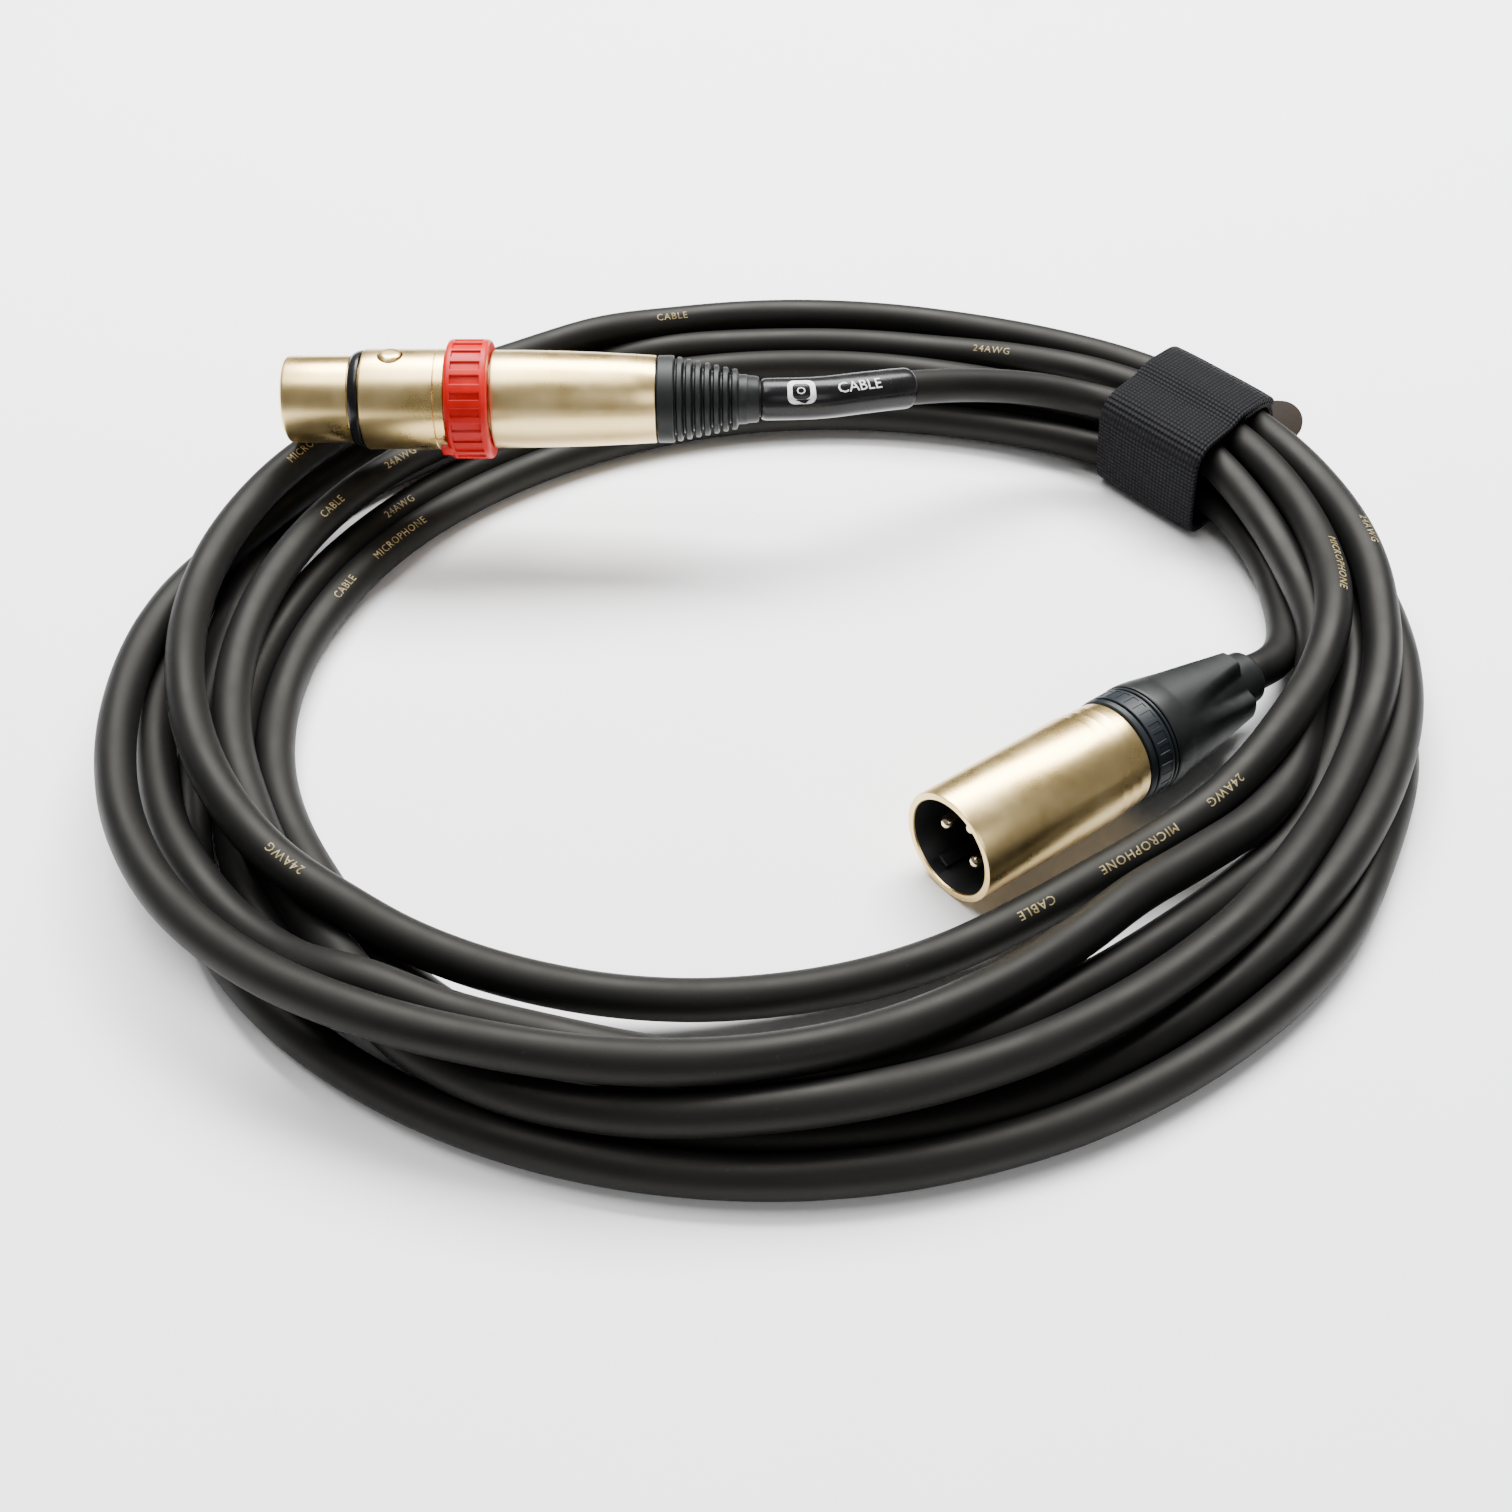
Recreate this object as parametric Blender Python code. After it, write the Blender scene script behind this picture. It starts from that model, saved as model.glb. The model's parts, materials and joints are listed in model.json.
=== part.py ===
"""A coiled microphone cable with a three-pole plug on each end and a hook-and-loop tie round its turns.

The female plug is a switched one: its red ring turns, and a magnet in the ring works a reed switch.
Metres, +Z up. The origin is at the middle of the coil, on the surface that it lies on.
Each plug is modelled along its own +X, from its mating end to its tail, round an empty on its axis.
"""

import math

import bmesh
import bpy
from mathutils import Vector

# Everywhere
GAP = 0.0003  # between pieces that touch
FINE, PLAIN, COARSE = 32, 24, 12  # sides of a shell, of an inner part, of a thin part

# The cable and its coil
CABLE_DIAMETER = 0.0065
COIL_WIDTH = 0.2280
COIL_DEPTH = 0.2216
COIL_STATIONS = 72
COIL_CORNER = 0.0060  # radius of the bundle's rounded corners
# Inner radius, outer radius and height of the bundle, every 22.5 degrees from +X towards +Y
BUNDLE = (
    (0.0910, 0.1130, 0.0170),
    (0.1000, 0.1165, 0.0190),
    (0.1000, 0.1175, 0.0195),
    (0.0800, 0.1110, 0.0175),
    (0.0650, 0.1060, 0.0180),
    (0.0685, 0.1030, 0.0185),
    (0.0710, 0.1010, 0.0179),
    (0.0740, 0.1040, 0.0179),
    (0.0825, 0.1140, 0.0180),
    (0.0895, 0.1190, 0.0170),
    (0.0910, 0.1185, 0.0170),
    (0.0860, 0.1170, 0.0180),
    (0.0790, 0.1150, 0.0180),
    (0.0770, 0.1125, 0.0170),
    (0.0760, 0.1095, 0.0170),
    (0.0820, 0.1090, 0.0170),
)

# The tie
TIE_ANGLE = math.radians(38)  # where it sits round the coil
TIE_WIDTH = 0.0250
TIE_THICKNESS = 0.0018
TIE_SLACK = 0.0005  # between the tie and the bundle
TAB_WIDTH = 0.0100
TAB_LENGTH = 0.0065
TAB_THICKNESS = 0.0012
TAB_HEIGHT = 0.0115

# The female plug, along its axis from the face of its nose
FEMALE_NOSE = Vector((-0.0921, 0.0495, 0.0293))
NOSE_LENGTH = 0.0122
NOSE_RADIUS = 0.0080
NOSE_WALL = 0.0010
SEAL_WIDTH = 0.0024
SEAL_DEPTH = 0.00045
BODY_LENGTH = 0.0155
BODY_RADIUS = 0.00925
BODY_SEAM = 0.0018  # from the seam to the switch ring
NECK_RADIUS = 0.0075
NECK_WALL = 0.0010
NECK_OVERLAP = 0.0058  # how far the neck reaches into the rear shell
SWITCH_LENGTH = 0.0078
SWITCH_RADIUS = 0.0110
SWITCH_RIM = 0.0012
SWITCH_RIBS = 24
RIB_DEPTH = 0.0005
REAR_LENGTH = 0.0303
REAR_RADIUS = 0.0090
REAR_END_RADIUS = 0.00805
FEMALE_INSERT_LENGTH = 0.0254
CONTACT_CIRCLE = 0.0040  # radius that the three contacts stand on
CONTACT_SPREAD = math.radians(106)  # from the third contact to each of the others
SOCKET_RADIUS = 0.0019
SOCKET_BORE = 0.00125
SOCKET_LENGTH = 0.0262
SOCKET_START = 0.0018
BOOT_COLLAR = 0.0030
BOOT_RIBS = 7
BOOT_RIB_PITCH = 0.0017
BOOT_TAIL = 0.0039
BOOT_TAIL_RADIUS = 0.0043

# The latch button on top of the female plug
LATCH_PLACE = 0.0200
LATCH_RADIUS = 0.00205
LATCH_FLANGE = 0.0026
LATCH_PROUD = 0.0006
LATCH_TRAVEL = 0.0010
SPRING_WIRE = 0.00012  # radius of the latch spring's wire
SPRING_SOLID = 0.0007  # its height when it is pressed flat

# The magnet and the reed switch
MAGNET = Vector((0.0040, 0.0030, 0.0015))
BOARD = Vector((0.0125, 0.0058, 0.0008))
REED_RADIUS = 0.00095
REED_LENGTH = 0.0090

# The male plug, along its axis from its rim
MALE_RIM = Vector((0.0249, -0.0496, 0.0095))
MALE_TURN = math.radians(37.6)
MALE_ROLL = math.radians(114)  # where its third pin stands, from its own +Y
SHELL_LENGTH = 0.0356
SHELL_RADIUS = 0.0095
SHELL_BORE = 0.00815
CAVITY_DEPTH = 0.0150
KEY_WIDTH = 0.0022
KEY_HEIGHT = 0.0012
MALE_INSERT_LENGTH = 0.0140
PIN_RADIUS = 0.00118
PIN_SETBACK = 0.0024
CUP_RADIUS = 0.0015
CUP_LENGTH = 0.0037
CLIP = Vector((0.0110, 0.0024, 0.0004))
CODING_LENGTH = 0.0058
CODING_BAND = 0.0012
CODING_RADIUS = 0.0093
MALE_BOOT_LENGTH = 0.0264
MALE_BOOT_RADIUS = 0.0094
LOBE_LENGTH = 0.0213
LOBE_HEIGHT = 0.0017
LOBES = 4

# The wires and the clamps on the cable
CORE_RADIUS = 0.0005
WIRE_CIRCLE = 0.0013  # radius that the three wires stand on inside the jacket
MALE_CHUCK_SETBACK = 0.0030
CHUCK_LENGTH = 0.0115
CHUCK_WALL = 0.0016
SLEEVE_WALL = 0.00035
SLEEVE_LENGTH = 0.0300

# The cable where it isn't coiled: from each boot's tail to the tie, in the part's frame
LEAD_EXIT = 0.0015  # straight out of the boot before the first point
FEMALE_LEAD = (
    (0.0067, 0.0503, 0.0291), (0.0147, 0.0533, 0.0283), (0.0242, 0.0580, 0.0266),
    (0.0342, 0.0632, 0.0241), (0.0442, 0.0677, 0.0212), (0.0537, 0.0705, 0.0184),
    (0.0627, 0.0717, 0.0160), (0.0657, 0.0717, 0.0154),
)
MALE_LEAD = (
    (0.0829, -0.0025, 0.0090), (0.0841, 0.0030, 0.0075), (0.0849, 0.0100, 0.0060),
    (0.0857, 0.0180, 0.0054), (0.0863, 0.0265, 0.0055), (0.0862, 0.0355, 0.0058),
    (0.0845, 0.0445, 0.0058), (0.0820, 0.0520, 0.0058),
)

# Worked out from the values above
CABLE_RADIUS = CABLE_DIAMETER / 2
CABLE_BORE = CABLE_RADIUS + GAP
COIL_ANGLES = [math.tau * k / COIL_STATIONS for k in range(COIL_STATIONS)]
CONTACT_ANGLES = (-CONTACT_SPREAD, 0.0, CONTACT_SPREAD)

NOSE_BORE = NOSE_RADIUS - NOSE_WALL
SEAL_END = NOSE_LENGTH + SEAL_WIDTH
BODY_END = SEAL_END + BODY_LENGTH
SWITCH_START = BODY_END + GAP
SWITCH_END = SWITCH_START + SWITCH_LENGTH
REAR_START = SWITCH_END + GAP
REAR_END = REAR_START + REAR_LENGTH
NECK_END = REAR_START + NECK_OVERLAP
NECK_BORE = NECK_RADIUS - NECK_WALL
SWITCH_BORE = NECK_RADIUS + GAP
FEMALE_BOOT_START = REAR_END + GAP
COLLAR_END = FEMALE_BOOT_START + BOOT_COLLAR
RIBS_END = COLLAR_END + BOOT_RIBS * BOOT_RIB_PITCH
FEMALE_TAIL = RIBS_END + BOOT_TAIL
LATCH_TOP = BODY_RADIUS + LATCH_PROUD
LATCH_SHELF = math.sqrt(NOSE_BORE**2 - LATCH_FLANGE**2) - GAP  # where the flange stops under the wall
LATCH_FOOT = LATCH_SHELF - 0.0005
LATCH_POCKET = LATCH_FOOT - LATCH_TRAVEL - SPRING_SOLID - 2 * GAP

CODING_START = SHELL_LENGTH + GAP
CODING_END = CODING_START + CODING_LENGTH
MALE_BOOT_START = CODING_END + GAP
MALE_TAIL = MALE_BOOT_START + MALE_BOOT_LENGTH
MALE_INSERT_END = CAVITY_DEPTH + MALE_INSERT_LENGTH

# Where the jacket is cut inside each plug
FEMALE_CUT = FEMALE_BOOT_START - CHUCK_LENGTH / 2
MALE_CUT = MALE_BOOT_START + CHUCK_LENGTH / 4


# ---------------------------------------------------------------- helpers


def clear_scene():
    for item in list(bpy.data.objects):
        bpy.data.objects.remove(item)


def finish(name, color, roughness, metallic):
    """A plain material with one colour."""
    material = bpy.data.materials.new(name)
    material.use_nodes = True
    shader = material.node_tree.nodes["Principled BSDF"]
    shader.inputs["Base Color"].default_value = (*color, 1)
    shader.inputs["Roughness"].default_value = roughness
    shader.inputs["Metallic"].default_value = metallic
    return material


def empty(name, place, turn=0.0):
    marker = bpy.data.objects.new(name, None)
    marker.location = place
    marker.rotation_euler.z = turn
    bpy.context.scene.collection.objects.link(marker)
    return marker


def put(name, mesh, parent=None, material=None, place=(0, 0, 0)):
    """Puts a mesh or a curve in the scene as one named piece."""
    piece = bpy.data.objects.new(name, mesh)
    piece.location = place
    piece.parent = parent
    if material:
        mesh.materials.append(material)
    bpy.context.scene.collection.objects.link(piece)
    return piece


def to_mesh(bm, name):
    bmesh.ops.remove_doubles(bm, verts=bm.verts, dist=1e-7)
    bmesh.ops.recalc_face_normals(bm, faces=bm.faces)
    mesh = bpy.data.meshes.new(name)
    bm.to_mesh(mesh)
    bm.free()
    mesh.shade_smooth()
    mesh.set_sharp_from_angle(angle=math.radians(35))
    return mesh


def turn_into(bm, profile, sides, axis="X"):
    """Turns a profile of (along, radius) pairs round an axis, as a ring or, from axis to axis, a solid."""
    solid = profile[0][1] == 0 and profile[-1][1] == 0
    points = [Vector((a, 0, r)) if axis == "X" else Vector((r, 0, a)) for a, r in profile]
    verts = [bm.verts.new(p) for p in points]
    pairs = list(zip(verts, verts[1:])) + ([] if solid else [(verts[-1], verts[0])])
    edges = [bm.edges.new(pair) for pair in pairs]
    spin_axis = (1, 0, 0) if axis == "X" else (0, 0, 1)
    bmesh.ops.spin(
        bm, geom=verts + edges, cent=(0, 0, 0), axis=spin_axis, angle=math.tau, steps=sides, use_merge=True
    )


def turn_beside(bm, profile, shift):
    """Adds a turned solid whose axis stands beside the piece's own."""
    one = bmesh.new()
    turn_into(one, profile, COARSE)
    bmesh.ops.translate(one, verts=one.verts, vec=shift)
    scratch = bpy.data.meshes.new("turned")
    one.to_mesh(scratch)
    one.free()
    bm.from_mesh(scratch)
    bpy.data.meshes.remove(scratch)


def turned(name, profile, sides, axis="X"):
    bm = bmesh.new()
    turn_into(bm, profile, sides, axis)
    return to_mesh(bm, name)


def box(bm, low, high):
    """Adds a box between two corners."""
    low, high = Vector(low), Vector(high)
    made = bmesh.ops.create_cube(bm, size=1)["verts"]
    for vert in made:
        vert.co = Vector((low[i] + (vert.co[i] + 0.5) * (high[i] - low[i])) for i in range(3))
    return made


def cut(piece, bm, name):
    """Cuts a closed shape out of a piece, with a hidden cutter."""
    cutter = put(name, to_mesh(bm, name), piece.parent)
    cutter.hide_render = True
    cutter.display_type = "WIRE"
    boolean = piece.modifiers.new(name, "BOOLEAN")
    boolean.operation = "DIFFERENCE"
    boolean.object = cutter


def add(piece, bm, name):
    """Joins a closed shape to a piece."""
    cut(piece, bm, name)
    piece.modifiers[name].operation = "UNION"


def stack(bm, rings, closed=False):
    """Skins a row of rings of points, with flat ends or, if closed, back onto the first ring."""
    rows = [[bm.verts.new(p) for p in ring] for ring in rings]
    pairs = list(zip(rows, rows[1:])) + ([(rows[-1], rows[0])] if closed else [])
    for first, second in pairs:
        for i, vert in enumerate(first):
            j = (i + 1) % len(first)
            bm.faces.new((vert, first[j], second[j], second[i]))
    if not closed:
        bm.faces.new(rows[0])
        bm.faces.new(rows[-1])


def spline_at(a, b, c, d, t):
    """The smooth curve from b to c that takes its slopes from a and d."""
    return 0.5 * (2 * b + (c - a) * t + (2 * a - 5 * b + 4 * c - d) * t**2 + (3 * b - 3 * c + d - a) * t**3)


def smooth_route(points, spacing):
    """Points at about an even spacing on a smooth curve through a route's own points."""
    points = [Vector(p) for p in points]
    ends = [2 * points[0] - points[1], *points, 2 * points[-1] - points[-2]]
    fine = []
    for a, b, c, d in zip(ends, ends[1:], ends[2:], ends[3:]):
        fine += [spline_at(a, b, c, d, step / 20) for step in range(20)]
    fine.append(points[-1])
    lengths = [0.0]
    for a, b in zip(fine, fine[1:]):
        lengths.append(lengths[-1] + (b - a).length)
    count = max(2, round(lengths[-1] / spacing))
    route = []
    at = 0
    for k in range(count + 1):
        goal = lengths[-1] * k / count
        while at < len(lengths) - 2 and lengths[at + 1] < goal:
            at += 1
        part = (goal - lengths[at]) / (lengths[at + 1] - lengths[at])
        route.append(fine[at].lerp(fine[at + 1], part))
    return route


def tube(name, route, radius, material, resolution=2, parent=None):
    """A round cord along a route, with filled ends."""
    curve = bpy.data.curves.new(name, "CURVE")
    curve.dimensions = "3D"
    curve.bevel_depth = radius
    curve.bevel_resolution = resolution
    curve.use_fill_caps = True
    spline = curve.splines.new("POLY")
    spline.points.add(len(route) - 1)
    for point, place in zip(spline.points, route):
        point.co = (*place, 1)
    return put(name, curve, parent, material)


def around(angle, radius, along=0.0):
    """A point round a plug's axis, by its angle from +Z."""
    return Vector((along, radius * math.sin(angle), radius * math.cos(angle)))


# ---------------------------------------------------------------- coil and tie


def bundle_at(angle):
    """Inner radius, outer radius and height of the bundle of turns, at any angle round the coil."""
    place = angle / math.tau * len(BUNDLE)
    base = math.floor(place)
    around_it = (Vector(BUNDLE[(base + i) % len(BUNDLE)]) for i in (-1, 0, 1, 2))
    return spline_at(*around_it, place - base)


def rounded_section(inner, outer, low, high, corner, steps=2):
    """A rounded rectangle in (radius, height)."""
    corner = min(corner, (outer - inner) / 2.2, (high - low) / 2.2)
    centres = (
        (outer - corner, high - corner, 0), (inner + corner, high - corner, 90),
        (inner + corner, low + corner, 180), (outer - corner, low + corner, 270),
    )
    return [
        (r + corner * math.cos(math.radians(start + 90 * k / steps)),
         z + corner * math.sin(math.radians(start + 90 * k / steps)))
        for r, z, start in centres
        for k in range(steps + 1)
    ]


def outline_fit():
    """The shift and stretch in plan that give the coil its stated width and depth, about the origin."""
    rim = [(bundle_at(a)[1] * math.cos(a), bundle_at(a)[1] * math.sin(a)) for a in COIL_ANGLES]
    fit = []
    for axis, size in enumerate((COIL_WIDTH, COIL_DEPTH)):
        low = min(p[axis] for p in rim)
        high = max(p[axis] for p in rim)
        fit.append(((low + high) / 2, size / (high - low)))
    return fit


def on_coil(angle, radius, height, fit):
    """A point given by its angle and radius round the coil."""
    (shift_x, stretch_x), (shift_y, stretch_y) = fit
    x = (radius * math.cos(angle) - shift_x) * stretch_x
    y = (radius * math.sin(angle) - shift_y) * stretch_y
    return Vector((x, y, height))


def tie_reach():
    """Half of the angle that the tie covers."""
    inner, outer, _ = bundle_at(TIE_ANGLE)
    return TIE_WIDTH / (inner + outer)


def lift_at(angle):
    """How far the bundle is held up by the tie that passes under it."""
    away = abs(angle - TIE_ANGLE) - tie_reach()
    fade = min(max(1.4 - away / math.radians(5), 0), 1)
    return (TIE_THICKNESS + TIE_SLACK) * fade


def cable_coil(material, fit):
    rings = []
    for angle in COIL_ANGLES:
        inner, outer, height = bundle_at(angle)
        section = rounded_section(inner, outer, lift_at(angle), height, COIL_CORNER)
        rings.append([on_coil(angle, r, z, fit) for r, z in section])
    bm = bmesh.new()
    stack(bm, rings, closed=True)
    return put("cable_coil", to_mesh(bm, "cable_coil"), material=material)


def tie(strap, tab, fit):
    """A strap round the bundle, with room for both leads on its inner side, and the hook tab at its end."""
    reach = tie_reach()
    room = CABLE_DIAMETER + 2 * GAP
    skins = ([], [])
    for k in range(9):
        angle = TIE_ANGLE + reach * (k / 4 - 1)
        inner, outer, height = bundle_at(angle)
        for skin, wall in zip(skins, (TIE_THICKNESS, 0)):
            section = rounded_section(
                inner - room - wall,
                outer + TIE_SLACK + wall,
                TIE_THICKNESS - wall,
                height + TIE_SLACK + wall,
                COIL_CORNER + wall,
            )
            skin.append([on_coil(angle, r, z, fit) for r, z in section])
    bm = bmesh.new()
    stack(bm, skins[0] + skins[1][::-1], closed=True)
    put("tie_strap", to_mesh(bm, "tie_strap"), material=strap)

    half = TAB_WIDTH / 2
    angle = TIE_ANGLE - reach
    root = on_coil(angle, bundle_at(angle)[1] + TIE_SLACK + TIE_THICKNESS + GAP, TAB_HEIGHT, fit)
    out = Vector((math.cos(angle), math.sin(angle), 0))
    along = Vector((-math.sin(angle), math.cos(angle), 0))
    arc = [math.pi * (k / 8 - 0.5) for k in range(9)]
    round_end = [(TAB_LENGTH - half + half * math.cos(a), half * math.sin(a)) for a in arc]
    outline = [(0, -half), *round_end, (0, half)]
    bm = bmesh.new()
    flat = [root + out * r + along * side for r, side in outline]
    stack(bm, [flat, [p + Vector((0, 0, TAB_THICKNESS)) for p in flat]])
    put("tie_hook_tab", to_mesh(bm, "tie_hook_tab"), material=tab)


def lead(name, tail, ahead, points, reach_in, material):
    """A free end of the cable, straight out of its boot and then along its route to the tie."""
    route = smooth_route([tail + ahead * LEAD_EXIT, *points], 2 * CABLE_DIAMETER)
    tube(name, [tail - ahead * reach_in, *route], CABLE_RADIUS, material)
    return route


def label_sleeve(tail, route, material):
    """The sleeve shrunk onto the cable behind the female plug."""
    ahead = (route[0] - tail).normalized()
    spine = [tail + ahead * GAP, route[0]]
    left = SLEEVE_LENGTH - (route[0] - spine[0]).length
    for a, b in zip(route, route[1:]):
        step = (b - a).length
        spine.append(a.lerp(b, min(left / step, 1)))
        left -= step
        if left <= 0:
            break
    skins = []
    for radius in (CABLE_BORE, CABLE_BORE + SLEEVE_WALL):
        skin = []
        for before, p, after in zip([spine[0], *spine], spine, [*spine[1:], spine[-1]]):
            ahead = (after - before).normalized()
            side = ahead.cross(Vector((0, 0, 1))).normalized()
            up = side.cross(ahead)
            turns = [math.tau * k / COARSE for k in range(COARSE)]
            skin.append([p + radius * (side * math.cos(a) + up * math.sin(a)) for a in turns])
        skins.append(skin)
    bm = bmesh.new()
    stack(bm, skins[0] + skins[1][::-1], closed=True)
    put("label_sleeve", to_mesh(bm, "label_sleeve"), material=material)


# ---------------------------------------------------------------- female plug


def front_shell(axis, metal):
    groove = NOSE_RADIUS - SEAL_DEPTH
    seam = BODY_END - BODY_SEAM
    edge = 0.0003
    profile = [
        (0, NOSE_RADIUS - 0.0007), (0.0002, NOSE_RADIUS - 0.0003), (0.0008, NOSE_RADIUS),
        (NOSE_LENGTH, NOSE_RADIUS), (NOSE_LENGTH, groove), (SEAL_END, groove),
        (SEAL_END, BODY_RADIUS - edge), (SEAL_END + edge, BODY_RADIUS),
        (seam - 0.0002, BODY_RADIUS), (seam, BODY_RADIUS - 0.0002), (seam + 0.0002, BODY_RADIUS),
        (BODY_END, BODY_RADIUS), (BODY_END, NECK_RADIUS), (NECK_END, NECK_RADIUS), (NECK_END, NECK_BORE),
        (BODY_END - 0.0026, NECK_BORE), (BODY_END - 0.0026, NOSE_BORE), (0, NOSE_BORE),
    ]
    shell = put("female_front_shell", turned("front_shell", profile, FINE), axis, metal)
    bm = bmesh.new()
    hole = LATCH_RADIUS + GAP
    above = LATCH_TOP * 1.2
    turn_into(bm, [(above, 0), (above, hole), (LATCH_FOOT, hole), (LATCH_FOOT, 0)], PLAIN, "Z")
    bmesh.ops.translate(bm, verts=bm.verts, vec=(LATCH_PLACE, 0, 0))
    cut(shell, bm, "latch_hole")


def seal_ring(axis, rubber):
    low, start, end = NOSE_RADIUS - SEAL_DEPTH + GAP, NOSE_LENGTH + GAP, SEAL_END - GAP
    top = BODY_RADIUS - 0.00025
    profile = [
        (start, NOSE_RADIUS + 0.0003), (start + 0.0005, NOSE_RADIUS + 0.0007),
        (end, top), (end, low), (start, low),
    ]
    put("female_seal_ring", turned("seal_ring", profile, FINE), axis, rubber)


def latch(axis, metal, steel):
    dome = 0.0003
    profile = [
        (LATCH_TOP, 0), (LATCH_TOP, LATCH_RADIUS - dome), (LATCH_TOP - dome, LATCH_RADIUS),
        (LATCH_SHELF, LATCH_RADIUS), (LATCH_SHELF, LATCH_FLANGE), (LATCH_FOOT, LATCH_FLANGE), (LATCH_FOOT, 0),
    ]
    put("female_latch_button", turned("latch_button", profile, PLAIN, "Z"), axis, metal, (LATCH_PLACE, 0, 0))

    turns, points = 2, 9
    low, high = LATCH_POCKET + SPRING_WIRE + GAP, LATCH_FOOT - SPRING_WIRE - GAP
    coil = []
    for k in range(turns * points + 1):
        a = math.tau * k / points
        height = low + (high - low) * k / (turns * points)
        coil.append((LATCH_PLACE + 0.0016 * math.cos(a), 0.0016 * math.sin(a), height))
    tube("female_latch_spring", coil, SPRING_WIRE, steel, resolution=0, parent=axis)


def female_insert(axis, plastic):
    start, end = 0.0006, 0.0006 + FEMALE_INSERT_LENGTH
    radius = NOSE_BORE - GAP
    profile = [(start, 0), (start, radius - 0.0003), (start + 0.0003, radius), (end, radius), (end, 0)]
    insert = put("female_insert", turned("female_insert", profile, FINE), axis, plastic)
    bm = bmesh.new()
    lip, clear = SOCKET_BORE + 0.0002, SOCKET_RADIUS + GAP
    hole = [(-0.001, 0), (-0.001, lip), (0.0016, lip), (0.0016, clear), (0.03, clear), (0.03, 0)]
    for angle in CONTACT_ANGLES:
        turn_beside(bm, hole, around(angle + math.pi, CONTACT_CIRCLE))
    half = LATCH_FLANGE + GAP
    box(bm, (LATCH_PLACE - half, -half, LATCH_POCKET), (LATCH_PLACE + half, half, NOSE_RADIUS))
    cut(insert, bm, "contact_holes")


def female_contacts(axis, gold):
    start, end = SOCKET_START, SOCKET_START + SOCKET_LENGTH
    cup = CORE_RADIUS + GAP
    profile = [
        (start + 0.0105, 0), (start + 0.0105, SOCKET_BORE), (start, SOCKET_BORE), (start, SOCKET_RADIUS),
        (end - 0.004, SOCKET_RADIUS), (end - 0.004, 0.0013), (end, 0.0013), (end, cup), (end - 0.003, cup),
        (end - 0.003, 0),
    ]
    mesh = turned("socket", profile, COARSE)
    mesh.materials.append(gold)
    for number, angle in enumerate(CONTACT_ANGLES, 1):
        put(f"female_contact_{number}", mesh, axis, place=around(angle + math.pi, CONTACT_CIRCLE))


def switch_ring(axis, red, magnet):
    bevel = 0.0006
    profile = [
        (SWITCH_START, SWITCH_RADIUS - bevel), (SWITCH_START + bevel, SWITCH_RADIUS),
        (SWITCH_START + SWITCH_RIM, SWITCH_RADIUS), (SWITCH_END - SWITCH_RIM, SWITCH_RADIUS),
        (SWITCH_END - bevel, SWITCH_RADIUS), (SWITCH_END, SWITCH_RADIUS - bevel),
        (SWITCH_END, SWITCH_BORE), (SWITCH_START, SWITCH_BORE),
    ]
    bm = bmesh.new()
    turn_into(bm, profile, 2 * SWITCH_RIBS)
    bmesh.ops.remove_doubles(bm, verts=bm.verts, dist=1e-7)
    bmesh.ops.recalc_face_normals(bm, faces=bm.faces)
    band = [
        face
        for face in bm.faces
        if SWITCH_START + SWITCH_RIM < face.calc_center_median().x < SWITCH_END - SWITCH_RIM
        and face.calc_center_median().yz.length > SWITCH_RADIUS * 0.97
    ]
    band.sort(key=lambda face: math.atan2(face.calc_center_median().y, face.calc_center_median().z))
    bmesh.ops.inset_individual(bm, faces=band[::2], thickness=0.00025, depth=-RIB_DEPTH)
    ring = put("mute_ring", to_mesh(bm, "mute_ring"), axis, red)

    middle = (SWITCH_START + SWITCH_END) / 2
    low = SWITCH_BORE + GAP
    half_x, half_y = MAGNET.x / 2, MAGNET.y / 2
    bm = bmesh.new()
    box(bm, (middle - half_x - GAP, -half_y - GAP, SWITCH_BORE * 0.9),
        (middle + half_x + GAP, half_y + GAP, low + MAGNET.z + GAP))
    cut(ring, bm, "magnet_pocket")
    bm = bmesh.new()
    box(bm, (middle - half_x, -half_y, low), (middle + half_x, half_y, low + MAGNET.z))
    put("mute_magnet", to_mesh(bm, "mute_magnet"), axis, magnet)


def reed_switch(axis, glass, board):
    start = BODY_END + 0.0012
    half_y, half_z = BOARD.y / 2, BOARD.z / 2
    bm = bmesh.new()
    box(bm, (start, -half_y, -half_z), (start + BOARD.x, half_y, half_z))
    put("switch_board", to_mesh(bm, "switch_board"), axis, board)
    middle = start + BOARD.x / 2
    half, lead = REED_LENGTH / 2, 0.0013
    profile = [
        (-half - lead, 0), (-half - lead, 0.0002), (-half, 0.0002), (-half + 0.0005, REED_RADIUS),
        (half - 0.0005, REED_RADIUS), (half, 0.0002), (half + lead, 0.0002), (half + lead, 0),
    ]
    place = (middle, 0, half_z + GAP + REED_RADIUS)
    put("reed_switch", turned("reed_switch", profile, COARSE), axis, glass, place)


def rear_shell(axis, metal):
    rim, wide, bore = 0.0003, SWITCH_BORE, REAR_END_RADIUS - 0.00135
    length = REAR_LENGTH
    waist = REAR_END_RADIUS + 0.6 * (REAR_RADIUS - REAR_END_RADIUS)
    profile = [
        (REAR_START, REAR_RADIUS - rim), (REAR_START + rim, REAR_RADIUS),
        (REAR_START + 0.35 * length, REAR_RADIUS - 0.15 * (REAR_RADIUS - REAR_END_RADIUS)),
        (REAR_START + 0.7 * length, waist), (REAR_END, REAR_END_RADIUS), (REAR_END, bore),
        (NECK_END + GAP, bore), (NECK_END + GAP, wide), (REAR_START, wide),
    ]
    put("female_rear_shell", turned("rear_shell", profile, FINE), axis, metal)


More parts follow.
